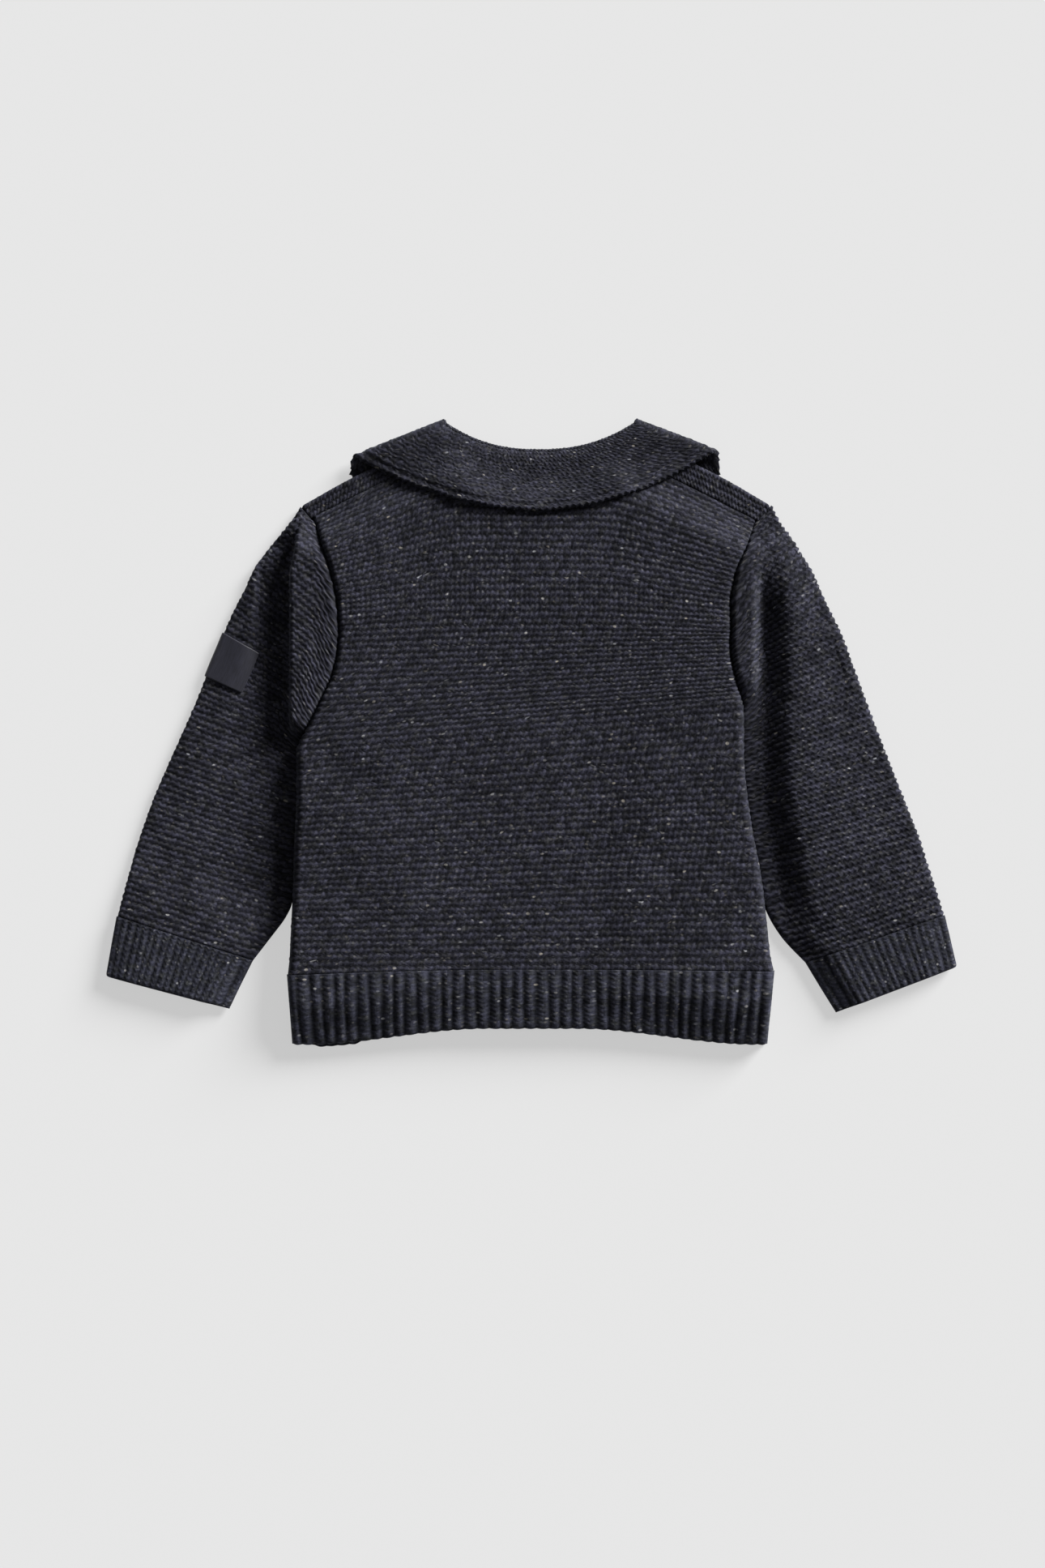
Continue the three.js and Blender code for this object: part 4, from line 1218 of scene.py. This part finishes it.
# %% Cuff
CUFF_RIBS = 38
CUFF_RIB_COLUMNS = 6
CUFF_RELIEF = 0.5
CUFF_SIZE = (145, 32)
CUFF_STITCHES = round(CUFF_SIZE[1] / RIB_STITCH)
CUFF_TUCK = 0.08


def cuff_piece(name, node, rows, side):
    at = tube_surface(rows, cuff_upper)

    def place(u, v):
        return at(u, lerp(-CUFF_TUCK, len(rows) - 1, v))

    def knit(u, v):
        return rib_wandering(u * CUFF_RIBS, v * CUFF_STITCHES)

    def height(u, v):
        return rounded(ribs(*knit(u, v), CUFF_RELIEF), u, v, CUFF_SIZE, SEWN_START)

    knitted_piece(
        name, node, "rib_knit", place, height, knit,
        (CUFF_RIBS * CUFF_RIB_COLUMNS, CUFF_STITCHES * RIB_STITCH_ROWS), flat=(0.152, 0.034),
        rests_on=["table_top"], facing=-side)


cuff_piece("cuff_left_knit", "cuff_left", CUFF_LEFT_ROWS, -1)
cuff_piece("cuff_right_knit", "cuff_right", CUFF_RIGHT_ROWS, 1)

# %% [markdown]
# ## Collar
#
# The shawl collar is one long strip. Each section across it runs from the neck seam up the stand,
# round the roll and down the fall. Behind the neck the fall lies on the back. At each shoulder the
# strip turns over the edge, and its two wings go on underneath, between the fronts and the back,
# down to the point of the V.

# %% One section across the collar
FALL_SWELL = {"power": 0.6, "lean": 0.3, "at_edge": 0.45}
STAND_COLUMNS = 10
ROLL_COLUMNS = 10
FALL_COLUMNS = 52
COLLAR_COLUMNS = STAND_COLUMNS + ROLL_COLUMNS + FALL_COLUMNS


def collar_section(neck, roll, end, stand_level, fall_level, stand_out=(0, 0), fall_out=(0, 0),
                   fullness=0.0):
    """Points from the neck seam up the stand, round the roll and down the fall."""
    neck, roll, end = np.array(neck, float), np.array(roll, float), np.array(end, float)
    outwards = -units(units(neck - roll) + units(end - roll))

    def points(plan, out, level):
        x, y = plan[..., 0], plan[..., 1]
        return stacked(x + out[0], y + out[1], level(x, y))

    stand_share = np.linspace(0, 1, STAND_COLUMNS, endpoint=False)[:, None]
    fall_share = np.linspace(0, 1, FALL_COLUMNS + 1)[1:, None]
    angle = np.linspace(0, math.pi, ROLL_COLUMNS + 1)[:, None]
    stand = points(lerp(neck, roll, stand_share), stand_out, stand_level)
    fall = points(lerp(roll, end, fall_share), fall_out, fall_level)
    turn = lerp(points(roll, stand_out, stand_level), points(roll, fall_out, fall_level),
                (1 - np.cos(angle)) / 2)
    turn[:, :2] += outwards * (LAYER / 2) * np.sin(angle)
    share = fall_share[:, 0]
    swell = np.sin(math.pi * share ** FALL_SWELL["power"]) * (1 - FALL_SWELL["lean"] * share)
    fall[:, 2] += fullness * (swell + FALL_SWELL["at_edge"] * share)
    return np.concatenate([stand, turn, fall])


# %% Section of a wing
ROLL_AT_V = 2.9
FALL_AT_V = 13
WING_BULGE = 4
WING_END_POWER = 4


def collar_wing_section(collar, up):
    side = collar["side"]

    def place(at_v, finish):
        return [lerp(side * at_v, finish[0], up), lerp(V_POINT_Y + SEAM_GAP, finish[1], up)]

    def second_layer(x, y):
        return LAYER * inner_band_lift(x, y, FRONT_RAMP) if side > 0 else 0 * x

    bulge = WING_BULGE * math.sin(math.pi * up)
    top_end = lerp(np.array(collar["end"]), np.array(collar["wing_end"]), up ** WING_END_POWER)
    end = place(FALL_AT_V, top_end)
    end = [end[0] + side * bulge, end[1] - math.tan(WING_SLANT) * bulge]
    return collar_section(
        place(BAND_HALF_WIDTH, collar["neck"]), place(ROLL_AT_V, collar["peak"]), end,
        lambda x, y: HALF + LAYER + second_layer(x, y), lambda x, y: HALF + second_layer(x, y))


# %% Sections at the shoulders and behind the neck
ROLL_MIDDLE = (4, 155.4)
ROLL_POWER = 2.34
FALL_MIDDLE = (3, 122.6)
FALL_POWER = 1.9
FALL_FULLNESS = 2.6
TURN_OUT = 1.5


def collar_turn_section(collar, degrees):
    angle = math.radians(degrees)
    side = collar["side"]
    neck = (collar["neck"][0], float(neck_curve_y(collar["neck"][0])))
    along = units(np.subtract(collar["end"], collar["peak"]))
    fall_normal = np.array([-along[1], along[0]]) * side

    def turned(top, bottom):
        def level(x, y):
            high = full_back_level(x, y) + top
            return (high + bottom) / 2 + (high - bottom) / 2 * math.sin(angle)
        return level

    other_end = collar["fall_end"] if degrees > 0 else collar["wing_end"]
    end = lerp(np.array(collar["turn_end"]), np.array(other_end), abs(math.sin(angle)))
    return collar_section(
        neck, collar["peak"], end, turned(0, HALF + LAYER), turned(LAYER, HALF),
        (side * LAYER / 2 * math.cos(angle), 0), fall_normal * TURN_OUT * LAYER * math.cos(angle),
        FALL_FULLNESS * (1 + math.sin(angle)) / 2)


def collar_back_section(share):
    collar = COLLAR_LEFT if share < 0 else COLLAR_RIGHT
    along = abs(share)
    neck_x = lerp(NECK_MIDDLE[0], collar["neck"][0], along)
    roll = (lerp(ROLL_MIDDLE[0], collar["peak"][0], along),
            lerp(ROLL_MIDDLE[1], collar["peak"][1], along ** ROLL_POWER))
    end = (lerp(FALL_MIDDLE[0], collar["fall_end"][0], along),
           lerp(FALL_MIDDLE[1], collar["fall_end"][1], along ** FALL_POWER))
    return collar_section(
        (neck_x, neck_curve_y(neck_x)), roll, end, full_back_level,
        lambda x, y: full_back_level(x, y) + LAYER, fullness=FALL_FULLNESS)


# %% Surface of the collar
WING_SECTIONS = 5
TURN_ANGLES = (-90, -45, 0, 45, 90)
BACK_SECTIONS = 12

ups = [step / WING_SECTIONS for step in range(WING_SECTIONS)]
back_shares = [2 * step / BACK_SECTIONS - 1 for step in range(1, BACK_SECTIONS)]
COLLAR_SECTIONS = np.array(
    [collar_wing_section(COLLAR_LEFT, up) for up in ups]
    + [collar_turn_section(COLLAR_LEFT, degrees) for degrees in TURN_ANGLES]
    + [collar_back_section(share) for share in back_shares]
    + [collar_turn_section(COLLAR_RIGHT, degrees) for degrees in reversed(TURN_ANGLES)]
    + [collar_wing_section(COLLAR_RIGHT, up) for up in reversed(ups)])


def collar_at(u, position):
    column = np.clip(u, 0, 1) * COLLAR_COLUMNS
    first = np.clip(np.floor(column).astype(int), 0, COLLAR_COLUMNS - 1)
    one, other = [along_rows(COLLAR_SECTIONS, position, first + step) for step in (0, 1)]
    return lerp(one, other, (column - first)[..., None])


# %% Knitted collar
COLLAR_RIDGES = 22
COLLAR_STITCHES = 156
COLLAR_BEAD = 0.9
COLLAR_WANDER = 0.16
COLLAR_RELIEF = 0.75
COLLAR_SIZE = (75, 520)
COLLAR_STEP = 0.004
FALL_WIDTH = 34
EDGE_STITCH = {"groove_at": 3.2, "groove_width": 0.9, "groove_depth": 0.8}
SCALLOP = {"from_u": 0.93, "height": 0.7, "back_to": 0.03}
collar_position, collar_length = even_rows(collar_at, len(COLLAR_SECTIONS) - 1, u_at=0.75)
print(f"the collar's fall is {collar_length:.0f} mm long")


def collar_place(u, v):
    position = collar_position(v)
    points = collar_at(u, position)
    outward = units(points - collar_at(np.maximum(u - SCALLOP["back_to"], 0), position))
    scallop = SCALLOP["height"] * np.cos(TAU * v * COLLAR_STITCHES)
    return points + outward * (smoothstep(u, SCALLOP["from_u"], 1) * scallop)[..., None]


def collar_knit(u, v):
    return wandering(v * COLLAR_STITCHES, u * COLLAR_RIDGES, COLLAR_WANDER)


def collar_height(u, v):
    stitches = OUTER + COLLAR_RELIEF * (garter(*collar_knit(u, v), COLLAR_BEAD) - OUTER)
    from_edge = (1 - u) * FALL_WIDTH * COLLAR_COLUMNS / FALL_COLUMNS
    groove = np.exp(-((from_edge - EDGE_STITCH["groove_at"]) / EDGE_STITCH["groove_width"]) ** 2)
    return rounded(stitches - EDGE_STITCH["groove_depth"] * groove, u, v, COLLAR_SIZE)


knitted_piece(
    "collar_knit", "collar", "collar_knit", collar_place, collar_height, collar_knit,
    (COLLAR_COLUMNS, COLLAR_STITCHES * COLUMNS_PER_STITCH), flat=(0.075, 0.52),
    rests_on=["back_panel", "front_left", "front_right"], held="folded", step=COLLAR_STEP)

# %% [markdown]
# ## Button bands
#
# The two bands lie on each other under the back, the left one outermost, so on the table. They are
# hidden and plain: garter stitch with its ridges across the band.

# %% Bands
BAND_SIZE = (2 * BAND_HALF_WIDTH, V_POINT_Y - HEM["bottom_y"])
BAND_STITCHES = round(BAND_SIZE[0] / STITCH_PITCH)
BAND_RIDGES = round(BAND_SIZE[1] / RIDGE_PITCH)
BAND_COLUMNS = 24


def band_piece(name, node, level, rests_on):
    def place(u, v):
        x = lerp(-BAND_HALF_WIDTH, BAND_HALF_WIDTH, u)
        return stacked(x, lerp(hem_bottom(x), V_POINT_Y, v), level)

    def knit(u, v):
        return u * BAND_STITCHES, v * BAND_RIDGES

    def height(u, v):
        return rounded(garter(*knit(u, v)), u, v, BAND_SIZE)

    knitted_piece(
        name, node, "collar_knit", place, height, knit,
        (BAND_COLUMNS, BAND_RIDGES * ROWS_PER_RIDGE), flat=(0.03, 0.195),
        rests_on=rests_on, facing=-1)


band_piece("band_left_knit", "front_band_left", HALF + LAYER, ["button_1", "button_4"])
band_piece("band_right_knit", "front_band_right", HALF + 2 * LAYER, ["front_band_left"])

# %% [markdown]
# ## Woven patch
#
# A dark satin patch is sewn round the outer edge of the left sleeve. It is left blank here. A satin
# weave is a smooth face of fine parallel threads, so it shines a little. It lies close on the ridges
# with a faint ripple, and its edges turn down to them where they are sewn.

# %% Patch material
def satin_material():
    material, tree, surface = new_material("woven_label")
    weave = add_node(tree, "ShaderNodeUVMap", uv_map="knit").outputs[0]
    threads = noise(tree, scaled(tree, weave, (60, 4, 1)), detail=2.0)
    base_colour = shaded(tree, (0.015, 0.015, 0.025), ranged(tree, threads, (0.3, 0.7), (0.75, 1.3)))
    tree.links.new(base_colour, surface.inputs["Base Color"])
    tree.links.new(bumped(tree, threads, 0.12, strength=0.5), surface.inputs["Normal"])
    surface.inputs["Roughness"].default_value = 0.5
    surface.inputs["Sheen Weight"].default_value = 0.1
    return material


MATERIALS["woven_label"] = satin_material()

# %% Patch
LABEL = {"rows": (6.45, 7.37), "shares": (0.325, 0.685)}
LABEL_BASE = 1.1
LABEL_RIM = 1.2
LABEL_TOP = 1.7
LABEL_SIZE = (46, 24)
LABEL_EDGE = 0.5
LABEL_GRID = (160, 88)
RIPPLE = {"height": 0.12, "along_u": 1.6, "along_v": 0.4}
sleeve_left_at = tube_surface(SLEEVE_LEFT_ROWS, sleeve_upper(SLEEVE_LEFT_ROWS, -1))


def label_place(u, v):
    return sleeve_left_at(lerp(*LABEL["shares"], u), lerp(*LABEL["rows"], v))


def label_height(u, v):
    ripple = np.sin(TAU * (RIPPLE["along_u"] * u + RIPPLE["along_v"] * v)) * np.sin(math.pi * v)
    height = lerp(LABEL_RIM, LABEL_TOP, rim_curve(u, v, LABEL_SIZE, LABEL_EDGE))
    return height + RIPPLE["height"] * ripple


knitted_piece(
    "label_satin", "sleeve_label", "woven_label", label_place, label_height,
    lambda u, v: (u, v), LABEL_GRID, flat=(0.048, 0.03), rests_on=["sleeve_left"],
    inner=LABEL_BASE)

# %% [markdown]
# ## Buttons
#
# Four plain buttons lie under the outer band, where nothing shows of them from above. Their packed
# solids already have the dished face and rim of a button, so they only get a moulded plastic finish.

# %% Button plastic
def plastic_material():
    material, tree, surface = new_material("button_plastic")
    place = add_node(tree, "ShaderNodeTexCoord").outputs["Object"]
    cloud = noise(tree, place, detail=3.0, scale=180.0)
    base_colour = shaded(tree, (0.018, 0.018, 0.023), ranged(tree, cloud, (0.3, 0.7), (0.7, 1.4)))
    tree.links.new(base_colour, surface.inputs["Base Color"])
    tree.links.new(ranged(tree, cloud, (0.3, 0.7), (0.28, 0.45)), surface.inputs["Roughness"])
    return material


BUTTON_PLASTIC = plastic_material()
button_names = [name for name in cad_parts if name.startswith("button_")]
for name in button_names:
    for material_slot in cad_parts[name].material_slots:
        material_slot.material = BUTTON_PLASTIC
print("buttons finished:", len(button_names))
